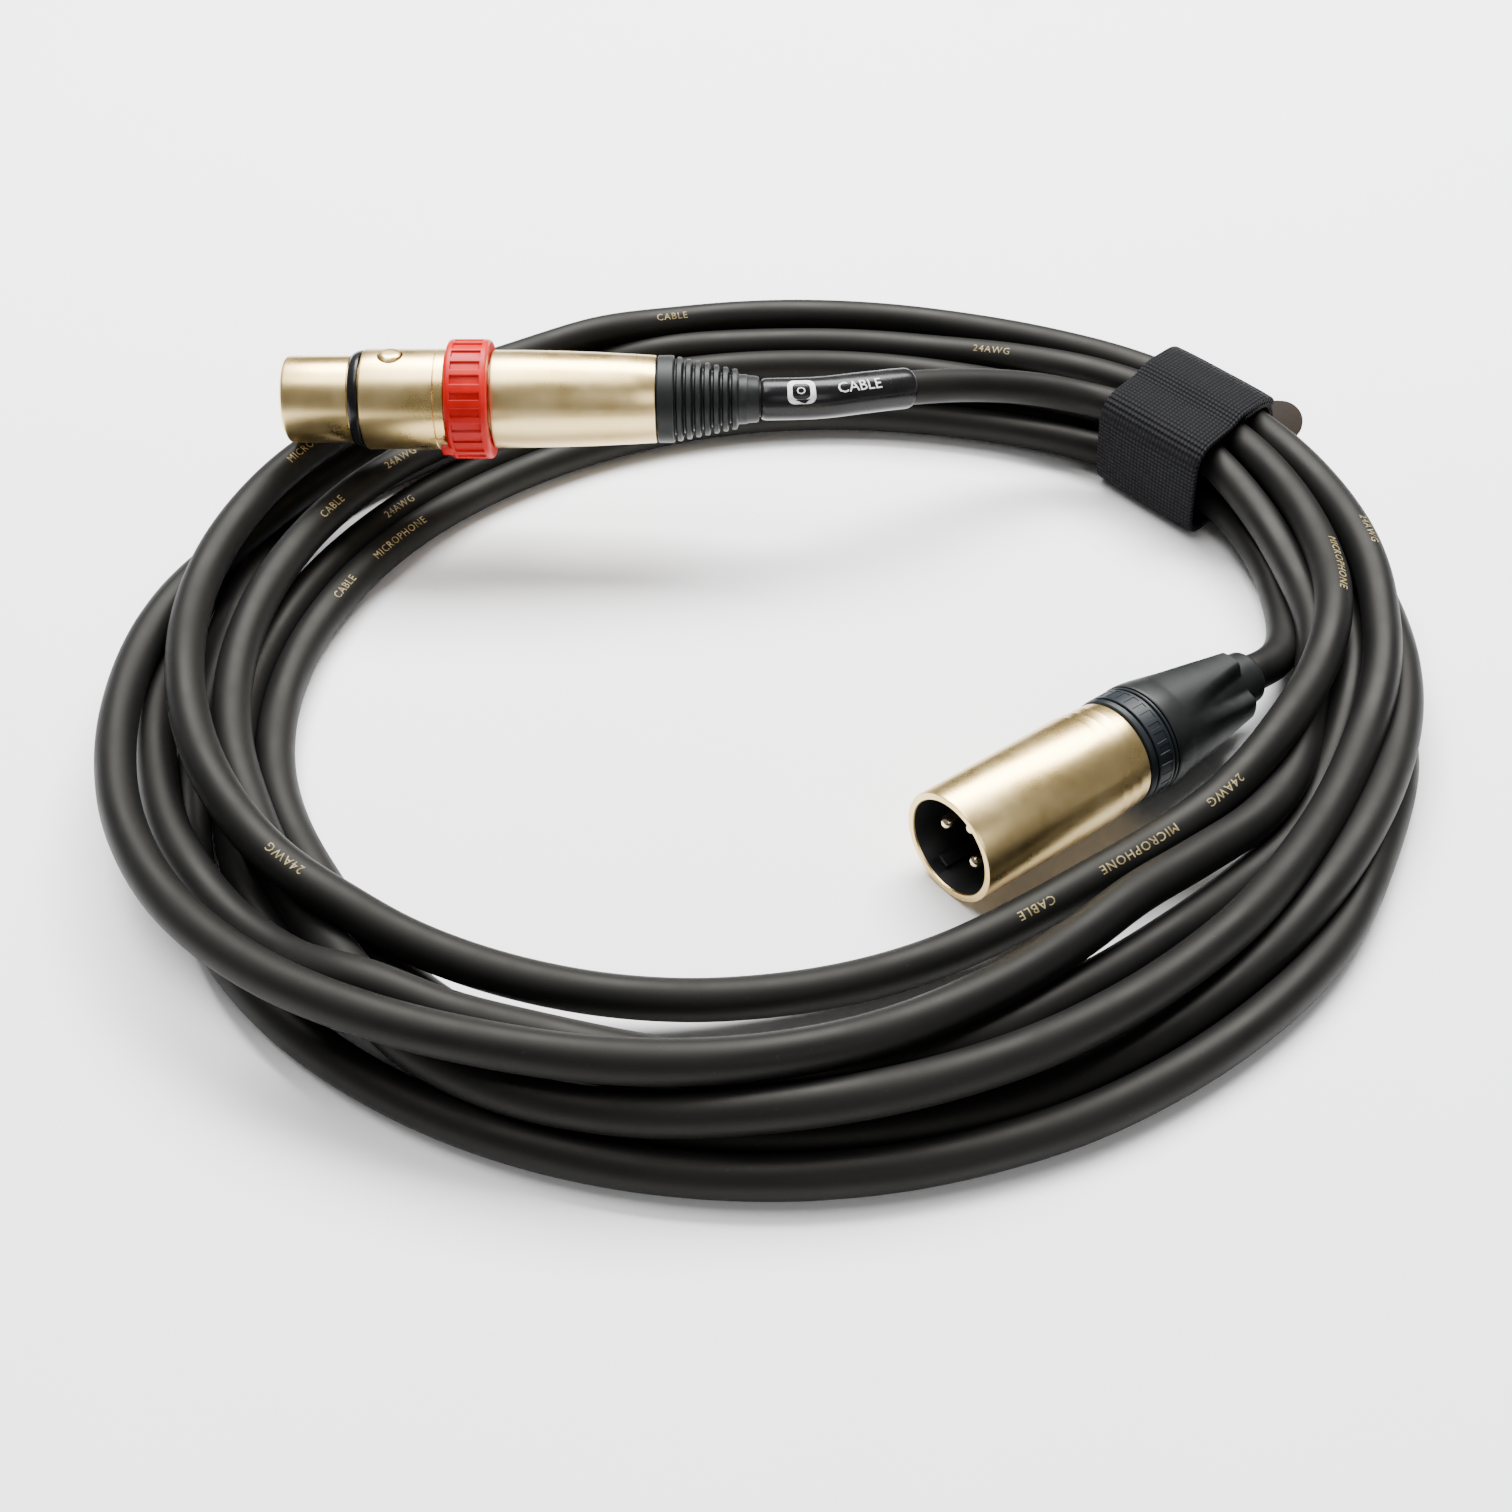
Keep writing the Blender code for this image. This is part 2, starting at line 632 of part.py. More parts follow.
def chuck(name, axis, plastic, start, radius):
    """The slotted clamp that grips the cable's jacket."""
    end = start + CHUCK_LENGTH
    profile = [
        (start, radius), (end - 0.004, radius), (end, radius - 0.0008), (end, CABLE_BORE), (start, CABLE_BORE)
    ]
    clamp = put(name, turned(name, profile, PLAIN), axis, plastic)
    bm = bmesh.new()
    slot, deep = 0.0004, start + 0.004
    box(bm, (deep, -2 * radius, -slot), (end + 0.001, 2 * radius, slot))
    cut(clamp, bm, name + "_slot")


def female_boot(axis, rubber):
    spigot = REAR_END_RADIUS - 0.00135 - GAP
    start = FEMALE_BOOT_START - 0.0086
    chuck_radius = CABLE_BORE + CHUCK_WALL
    wide = chuck_radius + GAP
    profile = [(start, spigot), (FEMALE_BOOT_START, spigot), (FEMALE_BOOT_START, REAR_END_RADIUS)]
    profile.append((COLLAR_END, REAR_END_RADIUS))
    for k in range(BOOT_RIBS):
        part = (k + 0.5) / BOOT_RIBS
        crest = REAR_END_RADIUS + (BOOT_TAIL_RADIUS + 0.0010 - REAR_END_RADIUS) * part
        x = COLLAR_END + k * BOOT_RIB_PITCH
        profile += [(x + 0.0003, crest - 0.0008), (x + 0.0008, crest), (x + BOOT_RIB_PITCH - 0.0002, crest)]
    profile += [(RIBS_END, BOOT_TAIL_RADIUS), (FEMALE_TAIL - 0.0004, BOOT_TAIL_RADIUS)]
    profile += [(FEMALE_TAIL, BOOT_TAIL_RADIUS - 0.0003), (FEMALE_TAIL, CABLE_BORE)]
    stop = start + GAP + CHUCK_LENGTH + GAP
    profile += [(stop, CABLE_BORE), (stop, wide), (start, wide)]
    put("female_boot", turned("female_boot", profile, PLAIN), axis, rubber)
    chuck("female_chuck", axis, rubber, start + GAP, chuck_radius)


def cores(prefix, axis, starts, bend, gather, end, materials):
    """The three wires inside a plug, from its contacts' cups to the cut end of the jacket."""
    for number, (place, material) in enumerate(zip(starts, materials), 1):
        outward = Vector((0, place.y, place.z)).normalized()
        steps = ((place.x, CONTACT_CIRCLE), (bend, CONTACT_CIRCLE), (gather, WIRE_CIRCLE), (end, WIRE_CIRCLE))
        route = [Vector((x, 0, 0)) + outward * r for x, r in steps]
        tube(f"{prefix}_core_{number}", smooth_route(route, 0.003), CORE_RADIUS, material, 1, axis)


# ---------------------------------------------------------------- male plug


def pin_angles():
    """Each pin's angle from the plug's own +Z, with the third pin where the plug's roll puts it."""
    third = math.pi / 2 - MALE_ROLL
    return (third - CONTACT_SPREAD, third + CONTACT_SPREAD, third)


def male_shell(axis, metal):
    edge, groove = 0.0003, 0.00015
    profile = [(0, SHELL_RADIUS - edge), (edge, SHELL_RADIUS)]
    for k in range(3):
        x = SHELL_LENGTH - 0.0066 + 0.0022 * k
        profile += [(x, SHELL_RADIUS), (x + 0.0002, SHELL_RADIUS - groove), (x + 0.0006, SHELL_RADIUS)]
    profile += [(SHELL_LENGTH - edge, SHELL_RADIUS), (SHELL_LENGTH, SHELL_RADIUS - edge)]
    profile += [(SHELL_LENGTH, SHELL_BORE), (0, SHELL_BORE)]
    shell = put("male_shell", turned("male_shell", profile, FINE), axis, metal)

    bm = bmesh.new()
    half = KEY_WIDTH / 2
    middle = (SHELL_BORE + SHELL_RADIUS) / 2
    box(bm, (0.0022, -half, SHELL_BORE - KEY_HEIGHT), (CAVITY_DEPTH - GAP, half, middle))
    key_angle = pin_angles()[2] + math.pi
    for vert in bm.verts:
        vert.co = around(math.atan2(vert.co.y, vert.co.z) + key_angle, vert.co.yz.length, vert.co.x)
    add(shell, bm, "key")


def male_insert(axis, plastic):
    radius = SHELL_BORE - GAP
    profile = [(CAVITY_DEPTH, 0), (CAVITY_DEPTH, radius), (MALE_INSERT_END, radius), (MALE_INSERT_END, 0)]
    insert = put("male_insert", turned("male_insert", profile, FINE), axis, plastic)
    bm = bmesh.new()
    clear = PIN_RADIUS + GAP
    for angle in pin_angles():
        turn_beside(bm, [(0.01, 0), (0.01, clear), (0.04, clear), (0.04, 0)], around(angle, CONTACT_CIRCLE))
    half = CLIP.y / 2 + GAP
    box(bm, (0.01, -half, -0.01), (0.04, half, -radius + CLIP.z + 2 * GAP + 0.0002))
    cut(insert, bm, "pin_holes")


def male_pins(axis, gold):
    tip, cup = 0.0006, CORE_RADIUS + GAP
    start, end = PIN_SETBACK, MALE_INSERT_END + GAP
    profile = [
        (start, 0), (start, PIN_RADIUS - tip), (start + tip * 0.4, PIN_RADIUS - tip * 0.3),
        (start + tip, PIN_RADIUS), (end, PIN_RADIUS), (end, CUP_RADIUS), (end + CUP_LENGTH, CUP_RADIUS),
        (end + CUP_LENGTH, cup), (end + 0.001, cup), (end + 0.001, 0),
    ]
    mesh = turned("pin", profile, COARSE)
    mesh.materials.append(gold)
    for number, angle in enumerate(pin_angles(), 1):
        put(f"male_pin_{number}", mesh, axis, place=around(angle, CONTACT_CIRCLE))


def ground_clip(axis, steel):
    """The strip that joins the metal shell to the cable's screen."""
    low = -(SHELL_BORE - GAP) + 0.0002
    bm = bmesh.new()
    start = CAVITY_DEPTH + 0.001
    box(bm, (start, -CLIP.y / 2, low), (start + CLIP.x, CLIP.y / 2, low + CLIP.z))
    put("male_ground_clip", to_mesh(bm, "ground_clip"), axis, steel)


def coding_ring(axis, plastic):
    low, groove = CODING_START + CODING_BAND, 0.0004
    radius, shallow = CODING_RADIUS, CODING_RADIUS - 0.0003
    profile = [
        (CODING_START, radius), (low, radius), (low, shallow), (low + groove, shallow), (low + groove, radius),
        (CODING_END, radius), (CODING_END, SHELL_BORE), (CODING_START, SHELL_BORE),
    ]
    put("male_coding_ring", turned("coding_ring", profile, FINE), axis, plastic)


def male_boot(axis, rubber):
    """A tapered boot with four broad tongues that end in a step."""
    spigot = SHELL_BORE - GAP
    chuck_radius = CABLE_BORE + CHUCK_WALL + 0.001
    tail_radius = CABLE_BORE + 0.0009
    start = SHELL_LENGTH - 0.0045

    def waist(part):
        drop = min(part / 0.62, 1)
        ease = drop * drop * (3 - 2 * drop)
        slim = 0.0012 * max(part - 0.62, 0) / 0.38
        return MALE_BOOT_RADIUS + (tail_radius + 0.0012 - MALE_BOOT_RADIUS) * ease - slim

    def ring(along, radius, lobe=0.0):
        points = []
        for k in range(FINE):
            a = math.tau * k / FINE
            swell = max(math.cos(LOBES * a), 0) ** 0.5
            points.append(around(a, radius + lobe * swell, along))
        return points

    shoulder = MALE_BOOT_START
    rings = [ring(start, spigot), ring(shoulder, spigot), ring(shoulder, MALE_BOOT_RADIUS)]
    for k in range(1, 7):
        along = LOBE_LENGTH * k / 6
        part = along / MALE_BOOT_LENGTH
        base = waist(part)
        lobe = min(MALE_BOOT_RADIUS - 0.0028 * part - base, LOBE_HEIGHT)
        rings.append(ring(MALE_BOOT_START + along, base, max(lobe, 0)))
    step = MALE_BOOT_START + LOBE_LENGTH + 0.0003
    rings.append(ring(step, waist(LOBE_LENGTH / MALE_BOOT_LENGTH)))
    rings += [ring(MALE_TAIL, tail_radius), ring(MALE_TAIL, CABLE_BORE)]
    chuck_start = MALE_BOOT_START - MALE_CHUCK_SETBACK
    stop = chuck_start + CHUCK_LENGTH + GAP
    rings += [ring(stop, CABLE_BORE), ring(stop, chuck_radius + GAP), ring(start, chuck_radius + GAP)]
    bm = bmesh.new()
    stack(bm, rings, closed=True)
    put("male_boot", to_mesh(bm, "male_boot"), axis, rubber)
    chuck("male_chuck", axis, rubber, chuck_start, chuck_radius)


# ---------------------------------------------------------------- the whole assembly


def main():
    clear_scene()
    jacket = finish("jacket", (0.02, 0.02, 0.022), 0.45, 0)
    nickel = finish("satin_nickel", (0.72, 0.69, 0.60), 0.32, 1)
    gold = finish("contact_gold", (0.85, 0.65, 0.30), 0.25, 1)
    steel = finish("spring_steel", (0.60, 0.60, 0.60), 0.3, 1)
    rubber = finish("black_rubber", (0.03, 0.03, 0.033), 0.5, 0)
    plastic = finish("black_plastic", (0.02, 0.02, 0.02), 0.4, 0)
    red = finish("red_plastic", (0.80, 0.04, 0.03), 0.35, 0)
    fabric = finish("tie_fabric", (0.03, 0.03, 0.035), 0.9, 0)
    tape = finish("hook_tape", (0.05, 0.03, 0.02), 0.8, 0)
    glass = finish("glass", (0.75, 0.85, 0.80), 0.1, 0)
    board = finish("circuit_board", (0.05, 0.25, 0.10), 0.5, 0)
    wires = (
        finish("wire_screen", (0.70, 0.45, 0.25), 0.5, 0),
        finish("wire_hot", (0.75, 0.05, 0.05), 0.5, 0),
        finish("wire_cold", (0.85, 0.85, 0.85), 0.5, 0),
    )

    fit = outline_fit()
    cable_coil(jacket, fit)
    tie(fabric, tape, fit)
    tail = FEMALE_NOSE + Vector((FEMALE_TAIL, 0, 0))
    route = lead("cable_to_female", tail, Vector((1, 0, 0)), FEMALE_LEAD, FEMALE_TAIL - FEMALE_CUT, jacket)
    label_sleeve(tail, route, finish("shrink_sleeve", (0.02, 0.02, 0.02), 0.25, 0))
    ahead = Vector((math.cos(MALE_TURN), math.sin(MALE_TURN), 0))
    lead("cable_to_male", MALE_RIM + ahead * MALE_TAIL, ahead, MALE_LEAD, MALE_TAIL - MALE_CUT, jacket)

    female = empty("female_axis", FEMALE_NOSE)
    front_shell(female, nickel)
    seal_ring(female, rubber)
    latch(female, nickel, steel)
    female_insert(female, plastic)
    female_contacts(female, gold)
    switch_ring(female, red, steel)
    reed_switch(female, glass, board)
    rear_shell(female, nickel)
    female_boot(female, rubber)
    cup = SOCKET_START + SOCKET_LENGTH - 0.0025
    starts = [around(a + math.pi, CONTACT_CIRCLE, cup) for a in CONTACT_ANGLES]
    cores("female", female, starts, NECK_END, FEMALE_CUT - 0.002, FEMALE_CUT - GAP, wires)

    male = empty("male_axis", MALE_RIM, MALE_TURN)
    male_shell(male, nickel)
    male_insert(male, plastic)
    male_pins(male, gold)
    ground_clip(male, steel)
    coding_ring(male, plastic)
    male_boot(male, rubber)
    cup = MALE_INSERT_END + GAP + 0.0015
    starts = [around(a, CONTACT_CIRCLE, cup) for a in pin_angles()]
    gather = MALE_BOOT_START - MALE_CHUCK_SETBACK - GAP
    cores("male", male, starts, cup + 0.0025, gather, MALE_CUT - GAP, wires)


main()
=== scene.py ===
# %% [markdown]
# # A coiled microphone cable
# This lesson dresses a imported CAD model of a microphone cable: a coil of black jacket, a switched female
# plug, a male plug and a hook-and-loop tie. The CAD frame says where things are and what moves. The lesson
# adds the looks: finer meshes where a shape is seen, and a worked finish for every surface.

# %% Load the frame
import json
import math

import bmesh
import bpy
import numpy as np
from mathutils import Matrix, Vector

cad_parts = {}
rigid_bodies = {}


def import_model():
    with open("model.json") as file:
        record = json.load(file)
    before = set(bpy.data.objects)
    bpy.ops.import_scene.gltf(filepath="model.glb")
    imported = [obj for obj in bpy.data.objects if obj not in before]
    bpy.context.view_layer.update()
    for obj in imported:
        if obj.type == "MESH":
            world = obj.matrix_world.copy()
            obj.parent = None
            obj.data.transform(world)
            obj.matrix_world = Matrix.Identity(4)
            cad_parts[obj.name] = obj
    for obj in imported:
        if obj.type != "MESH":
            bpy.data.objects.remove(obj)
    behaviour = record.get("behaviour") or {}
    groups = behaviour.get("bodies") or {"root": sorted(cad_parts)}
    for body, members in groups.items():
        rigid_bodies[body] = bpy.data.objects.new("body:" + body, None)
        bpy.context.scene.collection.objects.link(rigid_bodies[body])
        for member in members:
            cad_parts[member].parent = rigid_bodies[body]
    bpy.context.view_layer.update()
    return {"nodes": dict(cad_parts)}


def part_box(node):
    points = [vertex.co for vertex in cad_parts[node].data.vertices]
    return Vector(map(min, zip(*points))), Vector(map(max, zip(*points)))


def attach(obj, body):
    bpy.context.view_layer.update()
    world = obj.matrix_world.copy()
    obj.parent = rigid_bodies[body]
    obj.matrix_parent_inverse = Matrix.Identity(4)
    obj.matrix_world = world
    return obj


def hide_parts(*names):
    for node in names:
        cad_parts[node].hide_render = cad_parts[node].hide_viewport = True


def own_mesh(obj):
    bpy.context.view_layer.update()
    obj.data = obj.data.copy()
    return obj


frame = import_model()
MM = 0.001
ROOT = "cable_assembly"

# %% [markdown]
# ## Camera
# The camera looks down at 42 degrees from the front, close enough for the near strands to look larger.
# A lens a little longer than normal keeps the circle of the coil from stretching at the sides.

# %% Camera
CAMERA_PLACE = Vector((-0.0048, -0.2565, 0.2150))
LOOK_DOWN = math.radians(42)
camera = bpy.data.objects.new("camera", bpy.data.cameras.new("camera"))
camera.location = CAMERA_PLACE
camera.rotation_euler = (math.pi / 2 - LOOK_DOWN, 0, 0)
camera.data.sensor_width = 36
camera.data.lens = 44.76
camera.data.clip_start = 0.01
bpy.context.scene.collection.objects.link(camera)
bpy.context.scene.camera = camera
print("camera at", tuple(camera.location))

# %% [markdown]
# ## Shader maths as Python
# Materials are node trees, but long trees are hard to read. One small class stands for an output socket and
# takes Python's operators, so a pattern is written as a formula. The finish class holds the shader and has
# one method that adds any node: its type, then its settings, then the values or links of its sockets.

# %% Socket class


class Wire:
    """One output socket of a finish, which Python's arithmetic works on."""

    def __init__(self, finish, socket):
        self.finish, self.socket = finish, socket

    def maths(self, operation, *values):
        return self.finish.add("ShaderNodeMath", {"operation": operation}, dict(enumerate(values)))

    def __add__(self, other):
        return self.maths("ADD", self, other)

    def __sub__(self, other):
        return self.maths("SUBTRACT", self, other)

    def __rsub__(self, other):
        return self.maths("SUBTRACT", other, self)

    def __mul__(self, other):
        return self.maths("MULTIPLY", self, other)

    def __gt__(self, other):
        return self.maths("GREATER_THAN", self, other)

    def __lt__(self, other):
        return self.maths("LESS_THAN", self, other)

    def __pow__(self, other):
        return self.maths("POWER", self, other)

    def sine(self):
        return self.maths("SINE", self)

    def size(self):
        return self.maths("ABSOLUTE", self)

    __radd__, __rmul__ = __add__, __mul__


# %% Finish class
OUTPUTS = {"ShaderNodeMix": 2}


class Finish:
    """A material on one Principled shader. Constants are set on the shader's own sockets."""

    def __init__(self, name, constants):
        self.material = bpy.data.materials.new("finish_" + name)
        self.material.use_nodes = True
        self.tree = self.material.node_tree
        self.shader = self.tree.nodes["Principled BSDF"]
        for socket, value in constants.items():
            self.feed(self.shader.inputs[socket], value)

    def feed(self, socket, value):
        """Links a wire to a socket, or sets its value."""
        if isinstance(value, Wire):
            self.tree.links.new(value.socket, socket)
        elif socket.type == "RGBA" and len(value) == 3:
            socket.default_value = (*value, 1)
        else:
            socket.default_value = value

    def add(self, kind, settings, inputs, output=None):
        node = self.tree.nodes.new(kind)
        for name, value in settings.items():
            if name == "stops":
                self.set_stops(node.color_ramp.elements, value)
            else:
                setattr(node, name, value)
        for key, value in inputs.items():
            self.feed(node.inputs[key], value)
        return Wire(self, node.outputs[OUTPUTS.get(kind, 0) if output is None else output])

    def set_stops(self, elements, stops):
        elements[-1].position, elements[0].position = stops[-1][0], stops[0][0]
        for place, _ in stops[1:-1]:
            elements.new(place)
        for element, (_, colour) in zip(elements, stops):
            element.color = (*colour, 1)

    def where(self):
        """Object coordinates, in metres."""
        return self.add("ShaderNodeTexCoord", {}, {}, "Object")

    def uv(self):
        """The piece's own map, as its two numbers."""
        both = self.add("ShaderNodeTexCoord", {}, {}, "UV")
        split = {"Vector": both}
        return (self.add("ShaderNodeSeparateXYZ", {}, split, axis) for axis in "XY")

    def noise(self, scale, detail=3, **settings):
        inputs = {"Vector": self.where(), "Scale": scale, "Detail": detail, "Roughness": 0.6}
        return self.add("ShaderNodeTexNoise", settings, inputs)

    def blend(self, part, first, second):
        return self.add("ShaderNodeMix", {"data_type": "RGBA"}, {0: part, 6: first, 7: second})

    def between(self, wire, low, high, new_low, new_high):
        """Maps a range of values onto another, held at its ends."""
        inputs = dict(enumerate((wire, low, high, new_low, new_high)))
        return self.add("ShaderNodeMapRange", {}, inputs)

    def relief(self, height, depth, under=None):
        """A bump of the given depth in metres, over another if there is one."""
        inputs = {"Height": height, "Distance": depth, "Strength": 1.0}
        if under:
            inputs["Normal"] = under
        return self.add("ShaderNodeBump", {}, inputs)

    def give(self, **wires):
        """Feeds the shader's varying sockets."""
        for name, wire in wires.items():
            self.feed(self.shader.inputs[name.replace("_", " ")], wire)
        return self.material


FINISHES = {}
print("shader helpers ready")

# %% [markdown]
# ## Floor and light
# A product cut-out stands on a plain pale floor. One wide soft box high behind the object lays a long soft
# highlight along the top of each strand and throws a soft shadow towards the viewer. Weaker ones above and
# in front open the shaded sides, and a pale world fills the rest.

# %% Floor and light


def lay_floor(size):
    bm = bmesh.new()
    bmesh.ops.create_grid(bm, x_segments=1, y_segments=1, size=size / 2)
    mesh = bpy.data.meshes.new("floor")
    bm.to_mesh(mesh)
    bm.free()
    paper = Finish("floor", {"Roughness": 0.85, "Specular IOR Level": 0.2})
    grain = paper.noise(40, 4)
    shade = paper.blend(grain, (0.90, 0.90, 0.905), (0.93, 0.93, 0.93))
    mesh.materials.append(paper.give(Base_Color=shade))
    floor = bpy.data.objects.new("floor", mesh)
    bpy.context.scene.collection.objects.link(floor)


def soft_box(name, place, aim, size, power, colour=(1, 1, 1)):
    light = bpy.data.lights.new(name, "AREA")
    light.shape, light.size, light.size_y = "RECTANGLE", *size
    light.energy, light.color = power, colour
    lamp = bpy.data.objects.new(name, light)
    lamp.location = place
    lamp.rotation_euler = (Vector(aim) - Vector(place)).to_track_quat("-Z", "Y").to_euler()
    bpy.context.scene.collection.objects.link(lamp)


lay_floor(16)
soft_box("back_box", (0.05, 0.50, 0.80), (0, 0, 0), (1.0, 0.45), 44)
soft_box("top_box", (-0.30, 0.05, 1.1), (0, 0, 0), (0.6, 0.6), 10)
soft_box("front_box", (0.4, -0.9, 0.7), (0, 0, 0), (0.5, 0.5), 3)
world = bpy.data.worlds.new("studio")
world.use_nodes = True
world.node_tree.nodes["Background"].inputs["Color"].default_value = (1, 1, 1, 1)
world.node_tree.nodes["Background"].inputs["Strength"].default_value = 0.22
bpy.context.scene.world = world

# %% [markdown]
# ## The jacket
# Microphone cable has a soft PVC jacket: nearly black, matte, a little greasy where hands have been, and
# never quite round, because the twisted cores under it push it out in a slow spiral. The tube's own map runs
# along and around it, so the spiral is one sine of both, and the grain and the rubbed patches are noise.

# %% Jacket finish
CABLE_LENGTH = 4.5
CABLE_DIAMETER = 0.0065
CORE_LAY = 0.038  # the twisted cores turn once in this length


def jacket_finish():
    f = Finish("jacket", {"Specular IOR Level": 0.16, "Specular Tint": (1.0, 0.96, 0.84, 1.0)})
    along, around = f.uv()
    spiral = (along * (math.tau * CABLE_LENGTH / CORE_LAY) + around * (2 * math.tau)).sine()
    rubbed, grain, dust = f.noise(55, 4), f.noise(5200, 2), f.noise(900, 2)
    rough = f.between(rubbed, 0.35, 0.7, 0.44, 0.58) + grain * 0.05
    black = f.blend(rubbed, (0.0030, 0.0031, 0.0036), (0.0065, 0.0065, 0.0062))
    specks = f.between(dust, 0.70, 0.78, 0, 0.35)
    colour = f.blend(specks, black, (0.022, 0.021, 0.019))
    swell = f.relief(spiral, 0.00003)
    normal = f.relief(grain + rubbed * 2, 0.000012, swell)
    return f.give(Base_Color=colour, Roughness=rough, Normal=normal)


FINISHES["jacket"] = jacket_finish()

# %% [markdown]
# ## The route of the cable
# The cable is 4.5 m long and lies in about seven loose turns. The strands wander: they cross, part and meet
# again, so the route is given as a radius and a height every 30 degrees round the coil, clockwise from the
# tie, one row of twelve for each turn. Both ends then run from the tie to their plugs.

# %% Route of the turns
COIL_CENTRE = Vector((0.0007, 0.0045, 0))
TIE_ANGLE = 38
STATION = 30
TURNS = (  # (radius, height) in mm
    ((95.4, 16.5), (92.8, 11.5), (90.4, 8.5), (83.5, 11.5), (96.5, 14.5), (106.4, 16.0),
     (115.6, 15.0), (112.2, 12.5), (103.5, 9.5), (99.8, 9.5), (92.5, 13.5), (93.5, 15.0)),
    ((101.5, 16.5), (97.0, 16.0), (85.8, 12.5), (74.2, 6.5), (77.3, 4.5), (87.0, 7.0),
     (98.6, 13.5), (102.5, 16.5), (102.3, 17.5), (98.4, 17.0), (98.7, 17.0), (101.0, 17.0)),
    ((108.0, 16.5), (105.8, 14.5), (98.2, 10.0), (97.0, 10.0), (103.4, 12.0), (107.6, 8.2),
     (99.0, 5.0), (95.4, 10.5), (91.8, 12.0), (87.2, 12.0), (84.5, 13.0), (87.5, 13.0)),
    ((100.5, 10.8), (99.5, 9.0), (95.5, 5.0), (91.0, 5.0), (97.5, 8.7), (100.8, 12.8),
     (108.6, 9.0), (108.4, 7.5), (108.6, 3.5), (102.5, 3.3), (99.5, 3.3), (101.5, 3.5)),
    ((108.6, 5.2), (104.2, 3.5), (104.2, 3.3), (106.5, 3.3), (109.7, 3.3), (111.8, 3.3),
     (110.5, 3.3), (101.3, 4.0), (103.0, 3.8), (96.5, 3.8), (95.5, 9.0), (102.5, 9.5)),
    ((110.6, 10.8), (107.2, 9.5), (103.2, 8.5), (101.0, 4.0), (104.0, 3.3), (104.5, 3.3),
     (101.0, 3.3), (94.5, 4.0), (88.5, 4.5), (84.0, 4.5), (85.0, 4.5), (92.0, 4.0)),
    ((102.0, 5.1), (99.0, 3.5), (98.0, 3.3), (94.5, 3.3), (97.0, 3.3), (97.5, 3.3),
     (93.0, 4.0), (88.8, 4.0), (82.6, 4.0), (79.2, 4.0), (78.5, 4.5), (84.0, 4.5)),
)
LAST = (95.4, 5.1)
FEMALE_LEAD = (
    (0.0067, 0.0503, 0.0291), (0.0147, 0.0533, 0.0283), (0.0242, 0.0580, 0.0266),
    (0.0342, 0.0632, 0.0241), (0.0442, 0.0677, 0.0212), (0.0530, 0.0700, 0.0188),
    (0.0620, 0.0700, 0.0168), (0.0700, 0.0665, 0.0165),
)
MALE_LEAD = (
    (0.0830, -0.0045, 0.0086), (0.0864, -0.0005, 0.0077), (0.0889, 0.0048, 0.0067),
    (0.0905, 0.0110, 0.0060), (0.0913, 0.0180, 0.0056), (0.0915, 0.0255, 0.0056),
    (0.0908, 0.0335, 0.0057), (0.0891, 0.0415, 0.0058), (0.0862, 0.0492, 0.0058),
    (0.0819, 0.0563, 0.0055),
)

# %% [markdown]
# Each plug is made along its own +X and then placed, so its place and turn are two matrices. They also say
# where the cable leaves each boot.

# %% Plug places
FEMALE = Matrix.Translation((-0.0921, 0.0495, 0.0293))
MALE = Matrix.Translation((0.0249, -0.0496, 0.0095)) @ Matrix.Rotation(math.radians(37.6), 4, "Z")
FEMALE_TAIL = FEMALE @ Vector((0.0879, 0, 0))
MALE_TAIL = MALE @ Vector((0.0684, 0, 0))
INSIDE_BOOT = 0.004
STRAIGHT_OUT = 0.0015


def smooth_line(points, spacing):
    """Points at an even spacing on a smooth curve through the given ones."""
    p = np.array([tuple(q) for q in points], float)
    p = np.vstack([2 * p[0] - p[1], p, 2 * p[-1] - p[-2]])
    t = np.linspace(0, 1, 24, endpoint=False)[:, None]
    rows = []
    for a, b, c, d in zip(p, p[1:], p[2:], p[3:]):
        bend = (2 * a - 5 * b + 4 * c - d) * t**2 + (3 * b - 3 * c + d - a) * t**3
        rows.append(b + 0.5 * ((c - a) * t + bend))
    fine = np.vstack([*rows, p[-2:-1]])
    lengths = np.r_[0, np.cumsum(np.linalg.norm(np.diff(fine, axis=0), axis=1))]
    goals = np.linspace(0, lengths[-1], round(lengths[-1] / spacing) + 1)
    return np.stack([np.interp(goals, lengths, fine[:, i]) for i in range(3)], axis=1)


def turn_points(step):
    """The turns' route in metres, a point every few degrees."""
    rows = [station for turn in TURNS for station in turn] + [LAST]
    stations = STATION * np.arange(len(rows))
    table = smooth_line([(a, r, z) for a, (r, z) in zip(stations, rows)], 0.5)
    at = np.arange(0, stations[-1] + step / 2, step)
    radius = np.interp(at, table[:, 0], table[:, 1]) * MM
    height = np.interp(at, table[:, 0], table[:, 2]) * MM
    angle = np.radians(TIE_ANGLE - at)
    x, y = COIL_CENTRE.x + radius * np.cos(angle), COIL_CENTRE.y + radius * np.sin(angle)
    return np.column_stack([x, y, height])


def whole_route():
    out, back = Vector((1, 0, 0)), MALE.to_3x3() @ Vector((1, 0, 0))
    start = [FEMALE_TAIL - out * INSIDE_BOOT, FEMALE_TAIL + out * STRAIGHT_OUT, *FEMALE_LEAD]
    end = [*MALE_LEAD[::-1], MALE_TAIL + back * STRAIGHT_OUT, MALE_TAIL - back * INSIDE_BOOT]
    return smooth_line([*start, *turn_points(10), *end], 0.0045)


rough_route = whole_route()
print("route", len(rough_route), "points")

